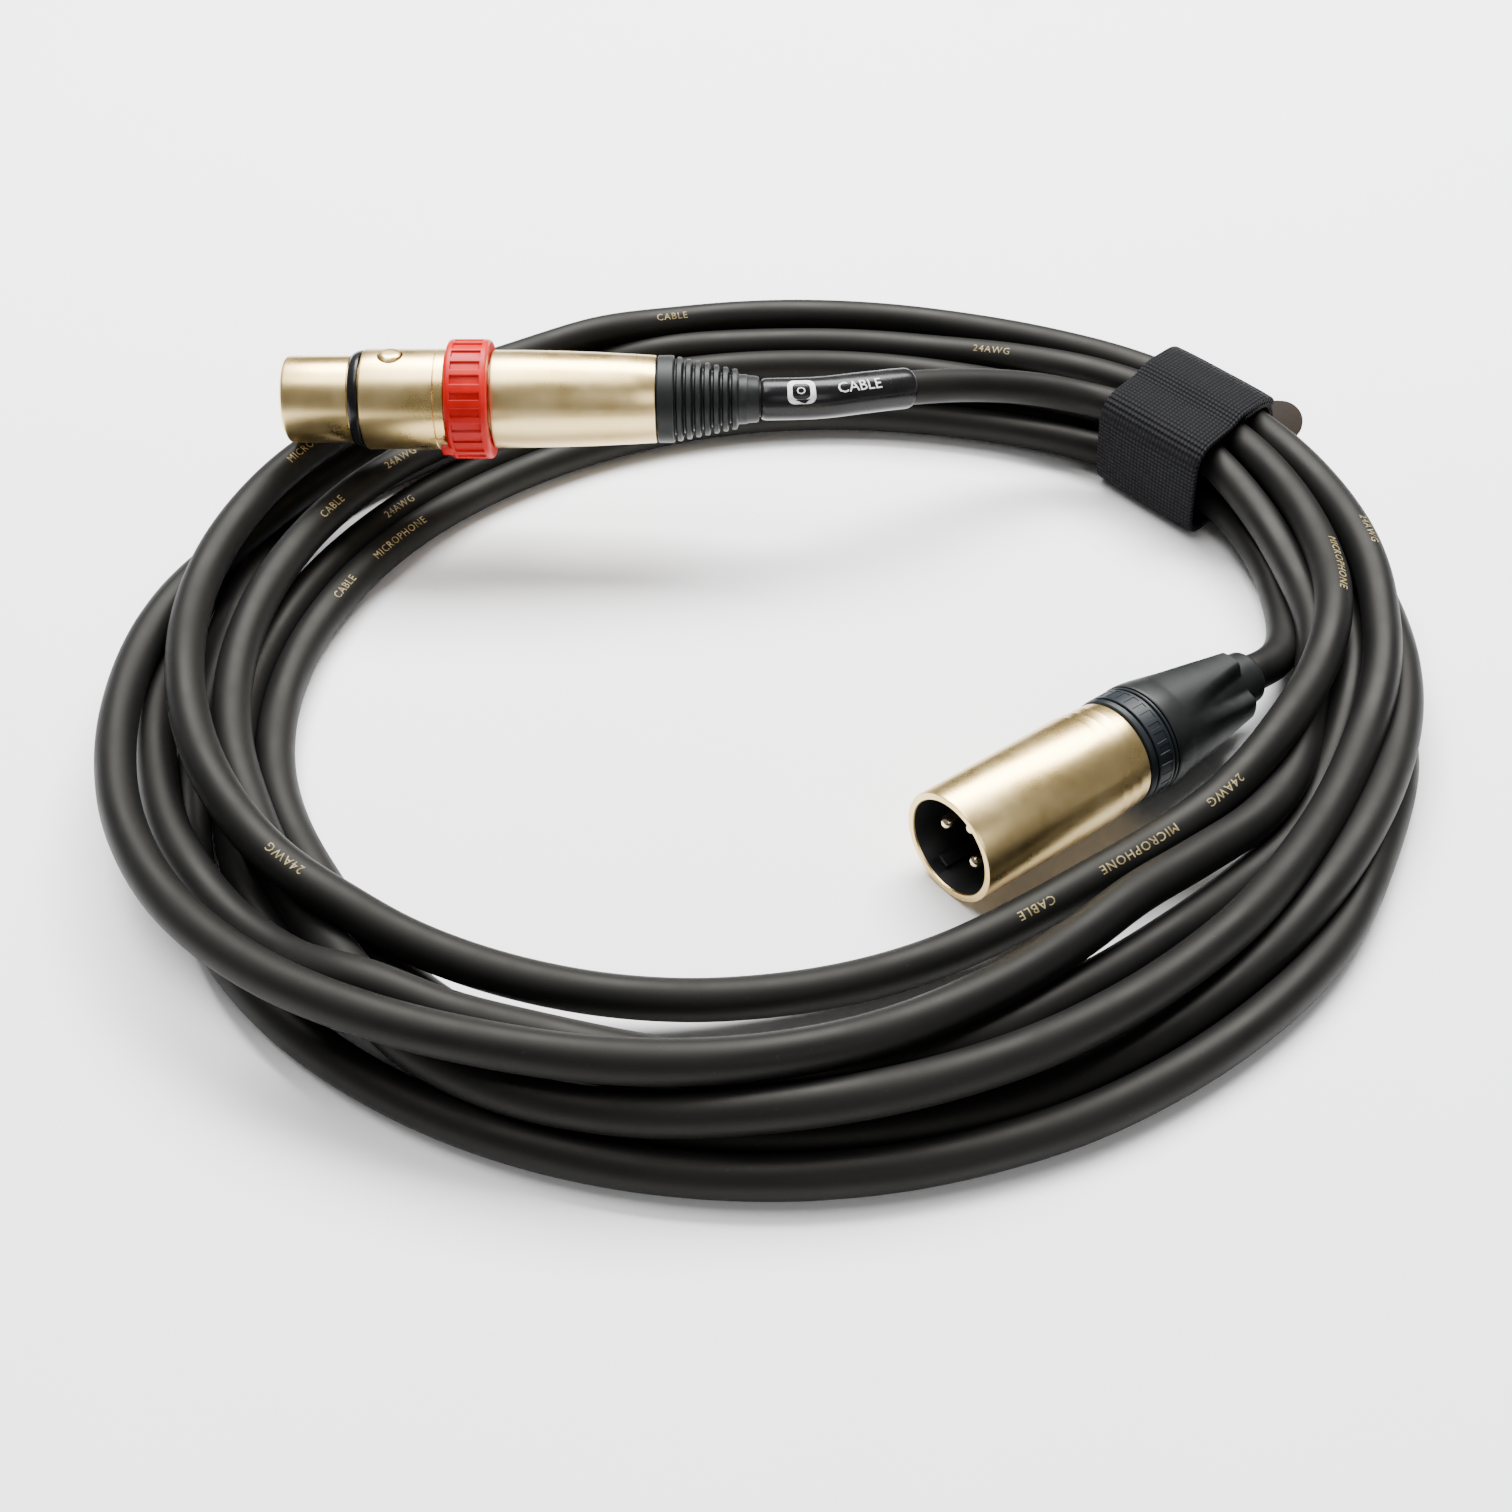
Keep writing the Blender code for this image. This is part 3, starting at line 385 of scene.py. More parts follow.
# %% [markdown]
# ## Letting the strands settle
# A route given turn by turn lets strands sink into each other by a millimetre or two. A cloth or rope
# simulation could settle them, but would also lose the pattern of crossings. Here each point is pushed away
# from any other strand closer than one diameter, held softly to its route, and kept above the floor.

# %% Settle the strands
SETTLE_STEPS = 240
NEIGHBOURS = 6  # points this near along the cable are the same strand
HELD_END = 8
SEARCH, APART = 1.8, 1.004  # in diameters: how far to look for strands, and how far apart they end
PUSH, HOLD = 0.6, 0.02  # shares of the overlap and of the way back to the route taken in each step


def smoothed(values):
    values = values.copy()
    values[1:-1] = 0.25 * values[:-2] + 0.5 * values[1:-1] + 0.25 * values[2:]
    return values


def settle(route):
    rest, place = route, route.copy()
    order = np.arange(len(route))
    for step in range(SETTLE_STEPS):
        if step % 20 == 0:
            apart = np.linalg.norm(place[:, None] - place[None], axis=2)
            close = (apart < SEARCH * CABLE_DIAMETER) & (order[:, None] - order[None] > NEIGHBOURS)
            one, other = np.nonzero(close)
        between = place[one] - place[other]
        distance = np.maximum(np.linalg.norm(between, axis=1), 1e-6)
        sunk = np.maximum(APART * CABLE_DIAMETER - distance, 0)
        push, touches = np.zeros_like(place), np.zeros(len(place))
        shove = between * (0.5 * sunk / distance)[:, None]
        np.add.at(push, one, shove)
        np.add.at(push, other, -shove)
        np.add.at(touches, one[sunk > 0], 1)
        np.add.at(touches, other[sunk > 0], 1)
        move = PUSH * push / np.sqrt(np.maximum(touches, 1))[:, None] + HOLD * (rest - place)
        move = smoothed(smoothed(move))
        move[:HELD_END] = move[-HELD_END:] = 0
        place = place + move
        if step % 8 == 0:
            place = rest + smoothed(place - rest)
        place[:, 2] = np.maximum(place[:, 2], CABLE_DIAMETER / 2)
    return place


centreline = smooth_line(settle(rough_route), 0.002)
steps = np.linalg.norm(np.diff(centreline, axis=0), axis=1)
cable_at = np.r_[0, np.cumsum(steps)]
print(f"cable {cable_at[-1]:.4f} m, {len(centreline)} points")

# %% [markdown]
# ## The cable
# A round cable is a circle swept along its line. A curve with a bevel does just that and makes a map that
# runs along and around, so the curve is made and turned into a mesh.

# %% Pieces and the cable


def new_piece(name, mesh, slot, body=ROOT, stands_for=(), finish=None):
    """Puts a mesh in the scene as a piece that rides on a body."""
    if not mesh.materials:
        mesh.materials.append(finish or FINISHES[slot])
    piece = bpy.data.objects.new(name, mesh)
    bpy.context.scene.collection.objects.link(piece)
    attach(piece, body)
    if stands_for:
        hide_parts(*stands_for)
    print(name, len(mesh.polygons), "faces")
    return piece


def swept(name, line, radius, sides, radii=None):
    """A mesh tube along a line, with its map along and around it."""
    curve = bpy.data.curves.new(name, "CURVE")
    curve.dimensions = "3D"
    curve.bevel_depth, curve.bevel_resolution = radius, sides // 2 - 2
    curve.use_fill_caps = True
    spline = curve.splines.new("POLY")
    spline.points.add(len(line) - 1)
    for k, (point, place) in enumerate(zip(spline.points, line)):
        point.co = (*place, 1)
        point.radius = radii[k] if radii is not None else 1
    holder = bpy.data.objects.new(name, curve)
    mesh = bpy.data.meshes.new_from_object(holder)
    bpy.data.objects.remove(holder)
    mesh.name = name
    mesh.shade_smooth()
    mesh.set_sharp_from_angle(angle=math.radians(50))
    return mesh


cable_mesh = swept("microphone_cable", centreline, CABLE_DIAMETER / 2, 24)
REPLACED = ("cable_coil", "cable_to_female", "cable_to_male")
cable = new_piece("microphone_cable", cable_mesh, "jacket", stands_for=REPLACED)

# %% [markdown]
# ## Finishes of the plugs
# The shells are zinc die-castings with a satin nickel plating: warm, finely blasted, brighter where edges
# have rubbed. Satin metal is a metallic shader whose roughness and colour drift a little, over a very fine
# grain. The red ring, the boots and the inner plastics are moulded, so they get a soft gloss with a fine
# texture. Small inner parts get finishes of their own kind: gold flash, spring steel, glass, board.

# %% Metal finishes


def metal_finish(name, dark, light, rough, grain_depth, grain_scale=3500):
    f = Finish(name, {"Metallic": 1.0})
    drift, grain = f.noise(90, 3), f.noise(grain_scale, 3)
    colour = f.blend(f.between(drift, 0.35, 0.65, 0, 1), dark, light)
    roughness = f.between(drift, 0.3, 0.7, rough - 0.05, rough + 0.06) + grain * 0.08
    return f.give(Base_Color=colour, Roughness=roughness, Normal=f.relief(grain, grain_depth))


FINISHES["satin_nickel"] = metal_finish(
    "satin_nickel", (0.74, 0.53, 0.21), (0.84, 0.64, 0.31), 0.26, 0.000003
)
FINISHES["contact_gold"] = metal_finish(
    "contact_gold", (0.86, 0.70, 0.42), (0.95, 0.84, 0.60), 0.14, 0.000002
)
FINISHES["spring_steel"] = metal_finish(
    "spring_steel", (0.50, 0.50, 0.51), (0.66, 0.66, 0.67), 0.24, 0.000003
)
FINISHES["magnet"] = metal_finish(
    "magnet", (0.34, 0.34, 0.36), (0.46, 0.46, 0.48), 0.38, 0.000006
)

# %% Moulded finishes


def moulded_finish(name, dark, light, rough, grain_depth, constants=None, grain_scale=2600):
    f = Finish(name, constants or {})
    drift, grain = f.noise(120, 3), f.noise(grain_scale, 3)
    colour = f.blend(f.between(drift, 0.35, 0.65, 0, 1), dark, light)
    roughness = f.between(drift, 0.3, 0.7, rough - 0.05, rough + 0.06) + grain * 0.06
    return f.give(Base_Color=colour, Roughness=roughness, Normal=f.relief(grain, grain_depth))


MOULDED = (  # name, darker, lighter, roughness, grain depth in metres
    ("seal_rubber", (0.006, 0.006, 0.007), (0.010, 0.010, 0.011), 0.20, 0.000002),
    ("black_plastic", (0.008, 0.008, 0.009), (0.014, 0.014, 0.015), 0.34, 0.000006),
    ("coding_plastic", (0.006, 0.009, 0.011), (0.010, 0.013, 0.016), 0.40, 0.000010),
    ("boot_rubber", (0.005, 0.006, 0.006), (0.009, 0.010, 0.010), 0.43, 0.000012),
    ("shrink_sleeve", (0.005, 0.005, 0.006), (0.009, 0.009, 0.009), 0.22, 0.000010),
    ("hook_tape", (0.008, 0.0045, 0.0025), (0.020, 0.012, 0.007), 0.75, 0.000060),
    ("wire_screen", (0.62, 0.36, 0.17), (0.78, 0.48, 0.26), 0.38, 0.000020),
    ("wire_hot", (0.50, 0.02, 0.02), (0.62, 0.04, 0.03), 0.42, 0.000004),
    ("wire_cold", (0.70, 0.69, 0.66), (0.82, 0.81, 0.78), 0.42, 0.000004),
    ("circuit_board", (0.012, 0.10, 0.035), (0.02, 0.17, 0.06), 0.32, 0.000006),
)
for slot, *look in MOULDED:
    FINISHES[slot] = moulded_finish(slot, *look, {"Specular IOR Level": 0.22})
RED_GLOW = {"Specular IOR Level": 0.2}
FINISHES["red_plastic"] = moulded_finish(
    "red_plastic", (0.42, 0.001, 0.001), (0.52, 0.002, 0.0015), 0.36, 0.000006, RED_GLOW
)
GLASS = {"Transmission Weight": 0.85, "IOR": 1.5}
FINISHES["glass"] = moulded_finish("glass", (0.55, 0.72, 0.62), (0.70, 0.82, 0.74), 0.10, 0.000002, GLASS)
print(len(FINISHES), "finishes")

# %% [markdown]
# Inner pieces keep their CAD solids, so they only need their finish. Each node's slot already has the name
# of its finish.

# %% Dress the CAD nodes


def dress_nodes():
    for node in frame["nodes"].values():
        for slot in node.material_slots:
            name = slot.material.name.split(".")[0]
            if name in FINISHES:
                slot.material = FINISHES[name]


# %% [markdown]
# ## Turned shapes
# Shells, rings and boots are round, so each starts as an outline of (along, radius) pairs in millimetres,
# spun once round +X and closed. Hard corners then get a small rounded edge, because a moulded or plated
# edge always catches a thin line of light.

# %% Turning helpers
SIDES = 128


def clean(bm):
    bmesh.ops.remove_doubles(bm, verts=bm.verts, dist=1e-7)
    bmesh.ops.recalc_face_normals(bm, faces=bm.faces)


def spun(outline, sides=SIDES):
    """Spins an outline into a closed ring or, where both ends lie on the axis, a solid."""
    bm = bmesh.new()
    verts = [bm.verts.new((along * MM, 0, radius * MM)) for along, radius in outline]
    solid = outline[0][1] == 0 and outline[-1][1] == 0
    ends = verts[1:] if solid else [*verts[1:], verts[0]]
    edges = [bm.edges.new(pair) for pair in zip(verts, ends)]
    bmesh.ops.spin(
        bm, geom=verts + edges, cent=(0, 0, 0), axis=(1, 0, 0), angle=math.tau, steps=sides, use_merge=True
    )
    clean(bm)
    return bm


def round_edges(bm, width, segments=2, least=30):
    """Rounds every edge sharper than the least angle, in degrees."""
    sharp = [e for e in bm.edges if e.is_manifold and e.calc_face_angle(0) > math.radians(least)]
    bmesh.ops.bevel(
        bm, geom=sharp, offset=width * MM, offset_type="OFFSET", affect="EDGES", segments=segments,
        profile=0.5, material=-1, clamp_overlap=True,
    )
    return bm


def to_mesh(bm, name, place=None, sharp=32):
    """Ends a bmesh: placed, closed, facing outwards and shaded smooth between sharp edges."""
    if place is not None:
        bmesh.ops.transform(bm, matrix=place, verts=bm.verts)
    clean(bm)
    mesh = bpy.data.meshes.new(name)
    bm.to_mesh(mesh)
    bm.free()
    mesh.shade_smooth()
    mesh.set_sharp_from_angle(angle=math.radians(sharp))
    return mesh


def changed_by(mesh, other, operation):
    """A mesh with another cut out of it or joined to it."""
    first = bpy.data.objects.new("first", mesh)
    second = bpy.data.objects.new("second", other)
    for item in (first, second):
        bpy.context.scene.collection.objects.link(item)
    boolean = first.modifiers.new("change", "BOOLEAN")
    boolean.operation, boolean.object, boolean.solver = operation, second, "EXACT"
    bpy.context.view_layer.update()
    graph = bpy.context.evaluated_depsgraph_get()
    result = bpy.data.meshes.new_from_object(first.evaluated_get(graph))
    for item in (first, second):
        bpy.data.objects.remove(item)
    result.name = mesh.name
    result.shade_smooth()
    result.set_sharp_from_angle(angle=math.radians(32))
    return result


def block(low, high, edge=0.1):
    """A box between two corners in mm, with rounded edges."""
    bm = bmesh.new()
    bmesh.ops.create_cube(bm, size=1)
    low, high = Vector(low) * MM, Vector(high) * MM
    size = Matrix.Diagonal((*(high - low), 1))
    bmesh.ops.transform(bm, matrix=Matrix.Translation((low + high) / 2) @ size, verts=bm.verts)
    return round_edges(bm, edge)


print("turning helpers ready")

# %% [markdown]
# ## Female plug: front shell
# The front shell is one casting: a 16 mm nose with a rounded rim, a groove for the black ring, and a wider
# body with a thin seam line before the switch. The latch button stands in a round hole in its top, so the
# hole is cut through the wall after turning.

# %% Front shell
FRONT_OUTLINE = (
    (0.25, 7.05), (0.0, 7.25), (0.05, 7.55), (0.3, 7.85), (0.8, 8.0), (12.15, 8.0), (12.2, 7.55),
    (14.6, 7.55), (14.6, 8.95), (14.75, 9.15), (15.1, 9.25), (28.1, 9.25), (28.25, 9.12), (28.4, 9.25),
    (30.0, 9.25), (30.1, 9.15), (30.1, 7.5), (44.3, 7.5), (44.3, 6.5), (27.5, 6.5), (27.5, 7.0), (0.6, 7.0),
)
LATCH_AT = 20.0
shell = to_mesh(spun(FRONT_OUTLINE), "front_shell")
hole = spun([(11.5, 0), (11.5, 2.35), (6.2, 2.35), (6.2, 0)], 64)
upright = Matrix.Translation((LATCH_AT * MM, 0, 0)) @ Matrix.Rotation(-math.pi / 2, 4, "Y")
shell = changed_by(shell, to_mesh(hole, "hole", upright), "DIFFERENCE")
notch = to_mesh(block((27.0, -9.4, -0.15), (30.3, -8.9, 0.15), 0.02), "notch")
notch.transform(Matrix.Rotation(math.radians(20), 4, "X"))
shell = changed_by(shell, notch, "DIFFERENCE")
shell.transform(FEMALE)
new_piece("front_shell", shell, "satin_nickel", stands_for=["female_front_shell"])

# %% [markdown]
# The black ring is a glossy rubber lip that steps from the nose up to the body. The latch button is a small
# domed cap with a rounded rim, and it rides on the latch, because it is pressed to let the plug go.

# %% Ring and button
lip = spun([(12.45, 7.8), (12.45, 8.2), (12.6, 8.45), (13.1, 8.75), (13.8, 8.95), (14.3, 9.0), (14.35, 7.8)])
lip = to_mesh(round_edges(lip, 0.08, 2, 40), "seal_ring", FEMALE)
new_piece("seal_ring", lip, "seal_rubber", stands_for=["female_seal_ring"])
BUTTON_OUTLINE = (
    (9.86, 0), (9.85, 0.9), (9.8, 1.4), (9.68, 1.8), (9.5, 2.0), (9.3, 2.05), (6.2, 2.05), (6.2, 2.6),
    (5.7, 2.6), (5.7, 0),
)
button = to_mesh(spun(BUTTON_OUTLINE, 64), "latch_button", FEMALE @ upright)
new_piece("latch_button", button, "satin_nickel", "latch", ["female_latch_button"])

# %% [markdown]
# A small coil spring under the button pushes it back up. It stands on the contact carrier and is wound as a
# helix, then swept with a thin round wire. A spring can't follow the button by riding on it, because its
# foot stays still, so it stays on the root body and gets a mesh of its own.

# %% Latch spring
SPRING_WIRE, SPRING_RADIUS, SPRING_TURNS, SPRING_PRESSED = 0.12 * MM, 1.6 * MM, 2, 0.56
foot, head = (Vector(corner).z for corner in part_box("female_latch_spring"))
spring_axis = FEMALE @ Vector((LATCH_AT * MM, 0, 0))
STEPS = SPRING_TURNS * 24
winding = []
for step in range(STEPS + 1):
    angle = math.tau * SPRING_TURNS * step / STEPS
    rise = foot + SPRING_WIRE + (head - foot - 2 * SPRING_WIRE) * step / STEPS
    across, along = SPRING_RADIUS * math.sin(angle), SPRING_RADIUS * math.cos(angle)
    winding.append((spring_axis.x + along, spring_axis.y + across, rise))
spring_mesh = swept("latch_spring", winding, SPRING_WIRE, 8)
spring = new_piece("latch_spring", spring_mesh, "spring_steel", stands_for=["female_latch_spring"])
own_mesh(spring)

# %% [markdown]
# ## The red switch ring
# The ring has two smooth rims and a band of short raised bars for the thumb. The band starts as smooth as
# the rims. Then the gaps between the bars are selected as strips of faces, and each strip is inset and
# sunk, which leaves the bars standing with steep sides. The ring rides on its own body.

# %% Switch ring
BARS = 24
FACES_PER_BAR = 8
GAP_FACES = 5
RING_OUTLINE = (
    (30.4, 10.3), (30.5, 10.7), (30.8, 10.93), (31.2, 11.0), (31.6, 11.0), (37.0, 11.0), (37.4, 11.0),
    (37.8, 10.93), (38.1, 10.7), (38.2, 10.3), (38.2, 7.9), (38.1, 7.8), (30.5, 7.8), (30.4, 7.9),
)


def sunk_band(bm, low, high, radius, count, faces_each, sunk_faces, depth, side=0.12):
    """Sinks strips of a turned band, so that bars are left standing between them."""
    band = []
    for face in bm.faces:
        middle = face.calc_center_median()
        if low * MM < middle.x < high * MM and middle.yz.length > radius * 0.97 * MM:
            turn = math.atan2(middle.y, middle.z) / math.tau % 1
            if int(turn * count * faces_each + 0.5) % faces_each < sunk_faces:
                band.append(face)
    bmesh.ops.inset_region(
        bm, faces=band, thickness=side * MM, depth=-depth * MM, use_even_offset=True, use_boundary=True
    )
    return bm


ring = spun(RING_OUTLINE, BARS * FACES_PER_BAR)
ring = sunk_band(ring, 31.65, 36.95, 11.0, BARS, FACES_PER_BAR, GAP_FACES, 0.42)
ring = to_mesh(round_edges(ring, 0.07, 2, 38), "switch_ring", sharp=45)
tab = to_mesh(block((29.2, -1.3, 10.2), (31.2, 1.3, 11.2), 0.25), "index_tab")
tab.transform(Matrix.Rotation(math.radians(118), 4, "X"))
ring = changed_by(ring, tab, "UNION")
ring.transform(FEMALE)
new_piece("switch_ring", ring, "red_plastic", "mute_ring", ["mute_ring"])

# %% [markdown]
# ## Rear shell and ribbed boot
# The rear shell tapers slightly to the boot. The boot is rubber: a plain collar, seven soft ribs that
# shrink towards the cable so that it bends evenly, and a short tail. Both are turned outlines; the ribs are
# added to theirs in a loop.

# %% Rear shell and female boot
REAR_OUTLINE = (
    (38.5, 8.7), (38.6, 8.9), (38.9, 9.0), (45.0, 8.98), (52.0, 8.82), (58.0, 8.6), (64.0, 8.3), (68.5, 8.05),
    (68.75, 7.95), (68.8, 7.75), (68.8, 6.7), (44.6, 6.7), (44.6, 7.8), (38.5, 7.8),
)
rear = to_mesh(spun(REAR_OUTLINE), "rear_shell", FEMALE)
new_piece("rear_shell", rear, "satin_nickel", stands_for=["female_rear_shell"])

RIBS, RIB_PITCH, RIB_START = 7, 1.7, 72.1
boot_outline = [(60.5, 6.4), (69.1, 6.4), (69.1, 7.9), (69.25, 8.05), (71.9, 8.05), (72.1, 7.9)]
for rib in range(RIBS):
    crest = 7.95 - 0.36 * (rib + 0.5)
    x = RIB_START + RIB_PITCH * rib
    boot_outline += [(x + 0.12, crest - 1.15), (x + 0.38, crest - 1.15), (x + 0.5, crest - 0.35)]
    boot_outline += [(x + 0.68, crest - 0.05), (x + 1.05, crest), (x + 1.42, crest - 0.05)]
    boot_outline += [(x + 1.6, crest - 0.35)]
boot_outline += [(84.1, 4.7), (84.3, 4.6), (85.6, 4.55), (85.8, 4.4), (87.5, 4.25), (87.85, 4.05)]
boot_outline += [(87.9, 3.6), (72.3, 3.55), (72.3, 5.5), (60.5, 5.5)]
boot = to_mesh(spun(boot_outline), "ribbed_boot", FEMALE)
new_piece("ribbed_boot", boot, "boot_rubber", stands_for=["female_boot"])

# %% [markdown]
# ## Male plug: barrel
# The male barrel is a 19 mm tube with a thin bright rim, three shallow steps near its rear, and a key inside
# that fits the other plug's slot. The key is a small block joined to the bore, and the bore's own faces get
# the black finish as painted shade, which stands in for the shade that darkens the cavity.

# %% Male barrel
PIN_ROLL = 114  # the third pin's angle from the plug's own +Y, in degrees
KEY_ROLL = PIN_ROLL + 180
PAINTED_SHADE_WITHIN = 8.22  # faces nearer to the axis than this are dark, in mm
BARREL_OUTLINE = (
    (0.35, 8.15), (0.08, 8.3), (0.0, 8.55), (0.0, 9.1), (0.1, 9.35), (0.4, 9.5), (28.9, 9.5), (29.0, 9.26),
    (29.35, 9.22), (31.1, 9.34), (31.2, 9.10), (31.55, 9.06), (33.3, 9.20), (33.4, 8.97), (33.75, 8.93),
    (35.3, 9.08), (35.5, 9.02), (35.6, 8.9), (35.6, 8.15),
)


def rolled(angle):
    """A turn round the plug's axis that takes +Z to an angle from +Y towards +Z."""
    return Matrix.Rotation(math.radians(angle - 90), 4, "X")


barrel = to_mesh(spun(BARREL_OUTLINE), "male_barrel")
key = to_mesh(block((2.2, -1.1, 6.95), (14.7, 1.1, 8.6), 0.2), "key")
key.transform(rolled(KEY_ROLL))
barrel = changed_by(barrel, key, "UNION")
barrel.materials.append(FINISHES["satin_nickel"])
barrel.materials.append(FINISHES["black_plastic"])
# Painted shade: the bore's inner faces get the black finish in place of the shade inside the cavity.
for face in barrel.polygons:
    if face.center.yz.length < PAINTED_SHADE_WITHIN * MM:
        face.material_index = 1
barrel.transform(MALE)
new_piece("male_barrel", barrel, "satin_nickel", stands_for=["male_shell"])

# %% [markdown]
# The pins stand on a 8 mm circle in a black carrier. Each is turned, with a domed tip and a small ring where
# the lathe tool left it, and the carrier has a raised boss round each pin.

# %% Pins and carrier
PIN_CIRCLE = 4.0
PIN_ANGLES = (PIN_ROLL + 106, PIN_ROLL - 106, PIN_ROLL)
PIN_OUTLINE = (
    (2.4, 0), (2.41, 0.25), (2.5, 0.55), (2.72, 0.85), (3.0, 1.05), (3.4, 1.15), (3.8, 1.18), (29.0, 1.18),
    (29.3, 1.18), (29.3, 1.5), (33.0, 1.5), (33.0, 0.8), (30.3, 0.8), (30.3, 0),
)


def on_circle(angle, radius):
    a = math.radians(angle)
    return Matrix.Translation((0, radius * math.cos(a) * MM, radius * math.sin(a) * MM))


pin_pieces = []
for number, angle in enumerate(PIN_ANGLES, 1):
    pin = to_mesh(spun(PIN_OUTLINE, 48), f"pin_{number}", MALE @ on_circle(angle, PIN_CIRCLE))
    pin_pieces.append(new_piece(f"pin_{number}", pin, "contact_gold", stands_for=[f"male_pin_{number}"]))
carrier = spun([(15.2, 0), (15.2, 5.6), (15.0, 5.8), (15.0, 7.7), (15.15, 7.85), (29.0, 7.85), (29.0, 0)], 96)
carrier = to_mesh(carrier, "pin_carrier")
for angle in PIN_ANGLES:
    boss = to_mesh(spun([(14.7, 0), (14.7, 1.9), (14.9, 2.1), (20.0, 2.1), (20.0, 0)], 48), "boss")
    boss.transform(on_circle(angle, PIN_CIRCLE))
    carrier = changed_by(carrier, boss, "UNION")
for angle in PIN_ANGLES:
    bore = to_mesh(spun([(10, 0), (10, 1.3), (35, 1.3), (35, 0)], 48), "bore")
    bore.transform(on_circle(angle, PIN_CIRCLE))
    carrier = changed_by(carrier, bore, "DIFFERENCE")
carrier.transform(MALE)
new_piece("pin_carrier", carrier, "black_plastic", stands_for=["male_insert"])

# %% [markdown]
# ## Coding ring and male boot
# Between barrel and boot sits a thin plastic ring, parted by two dark grooves, with small raised marks round
# its band. The boot behind it starts as a turned cone. Four broad tongues run down it and end in a step, so
# the turned points are then lifted by a smooth function of the angle and the place along the boot.

# %% Coding ring
MARKS = 30
CODING_OUTLINE = (
    (35.9, 8.9), (36.0, 9.1), (36.15, 9.2), (36.85, 9.3), (37.0, 9.2), (37.02, 8.85), (37.4, 8.85),
    (37.42, 9.2), (37.55, 9.3), (37.95, 9.3), (40.3, 9.3), (40.75, 9.3), (40.9, 9.2), (40.92, 8.85),
    (41.3, 8.85), (41.32, 9.15), (41.45, 9.25), (41.7, 9.25), (41.7, 8.15), (35.9, 8.15),
)
coding = spun(CODING_OUTLINE, MARKS * 6)
coding = sunk_band(coding, 38.0, 40.2, 9.3, MARKS, 6, 4, 0.1, 0.05)
coding = to_mesh(coding, "coding_ring", MALE, sharp=30)
new_piece("coding_ring", coding, "coding_plastic", stands_for=["male_coding_ring"])

# %% Male boot
BOOT_START, BOOT_END, TONGUE_END = 42.0, 68.4, 63.4
TONGUES = 4


def ease(value):
    value = min(max(value, 0), 1)
    return value * value * (3 - 2 * value)


def boot_radius(along, angle):
    """The boot's radius in mm at a place along it and an angle round it."""
    part = (along - BOOT_START) / (BOOT_END - BOOT_START)
    base = 9.4 - 3.5 * ease(part / 0.70) - 1.3 * max(part - 0.62, 0) / 0.38
    crown = 9.4 - 3.0 * part
    wide = 1.0 - 0.62 * part  # a tongue's share of the way to the next valley
    off = abs((angle * TONGUES / math.tau + 0.5) % 1 - 0.5) * 2
    side = 1 - ease((off - wide + 0.22) / 0.44)
    ended = 1 - ease((along - TONGUE_END + 0.35) / 0.35)
    return base + max(crown - base, 0) * side * ended


male_outline = [(31.1, 7.85), (41.9, 7.85), (42.0, 7.95), (42.0, 9.3)]
places = np.r_[np.linspace(42.15, 63.0, 56), np.linspace(63.05, 63.5, 8), np.linspace(64.0, 67.9, 14)]
male_outline += [(float(x), 9.0) for x in places]
male_outline += [(68.3, 4.35), (68.4, 4.1), (68.4, 3.6), (54.0, 3.6), (54.0, 6.5), (31.1, 6.5)]
male_boot = spun(male_outline, 144)
for vert in male_boot.verts:
    along, radius = vert.co.x / MM, vert.co.yz.length / MM
    if abs(radius - 9.0) < 0.001 and 42.1 < along < 68.0:
        angle = math.atan2(vert.co.y, vert.co.z)
        vert.co.yz = vert.co.yz * (boot_radius(along, angle) / radius)
male_boot = to_mesh(male_boot, "tongued_boot", MALE, sharp=50)
new_piece("tongued_boot", male_boot, "boot_rubber", stands_for=["male_boot"])

# %% [markdown]
# ## The shrunk sleeve
# A short glossy sleeve is shrunk onto the cable behind the female plug. It follows the cable's own line, a
# little thicker than the jacket, with ends that neck down onto it.

# %% Sleeve
SLEEVE_LENGTH = 0.0300
SLEEVE_RADIUS = 0.0039
start = INSIDE_BOOT + 0.0003


def line_at(distance):
    """Points on the cable's centreline at distances along it."""
    return np.stack([np.interp(distance, cable_at, centreline[:, i]) for i in range(3)], axis=-1)


spots = np.r_[0, 0.0002, 0.0006, np.linspace(0.0012, SLEEVE_LENGTH - 0.0012, 30)]
spots = np.r_[spots, SLEEVE_LENGTH - 0.0005, SLEEVE_LENGTH - 0.0001, SLEEVE_LENGTH]
radii = np.ones(len(spots))
radii[[0, -1]], radii[[1, -2]], radii[[2, -3]] = 0.87, 0.94, 0.985
sleeve = swept("label_sleeve", line_at(start + spots), SLEEVE_RADIUS, 40, radii)
new_piece("sleeve", sleeve, "shrink_sleeve", stands_for=["label_sleeve"])

# %% [markdown]
# ## Print
# Jackets carry a line of print that says what the cable is. The words are text turned into meshes, cut into
# narrow rows so that they can bend, and wrapped round the jacket: across the letters becomes the angle round
# the cable, and along them the distance down its line.

# %% Print helpers


def ink_finish(name, dark, light, rough):
    f = Finish(name, {"Specular IOR Level": 0.3})
    worn, grain = f.noise(700, 3), f.noise(4000, 2)
    colour = f.blend(f.between(worn, 0.42, 0.62, 0, 1), dark, light)
    return f.give(Base_Color=colour, Roughness=grain * 0.2 + rough, Normal=f.relief(grain, 0.000004))


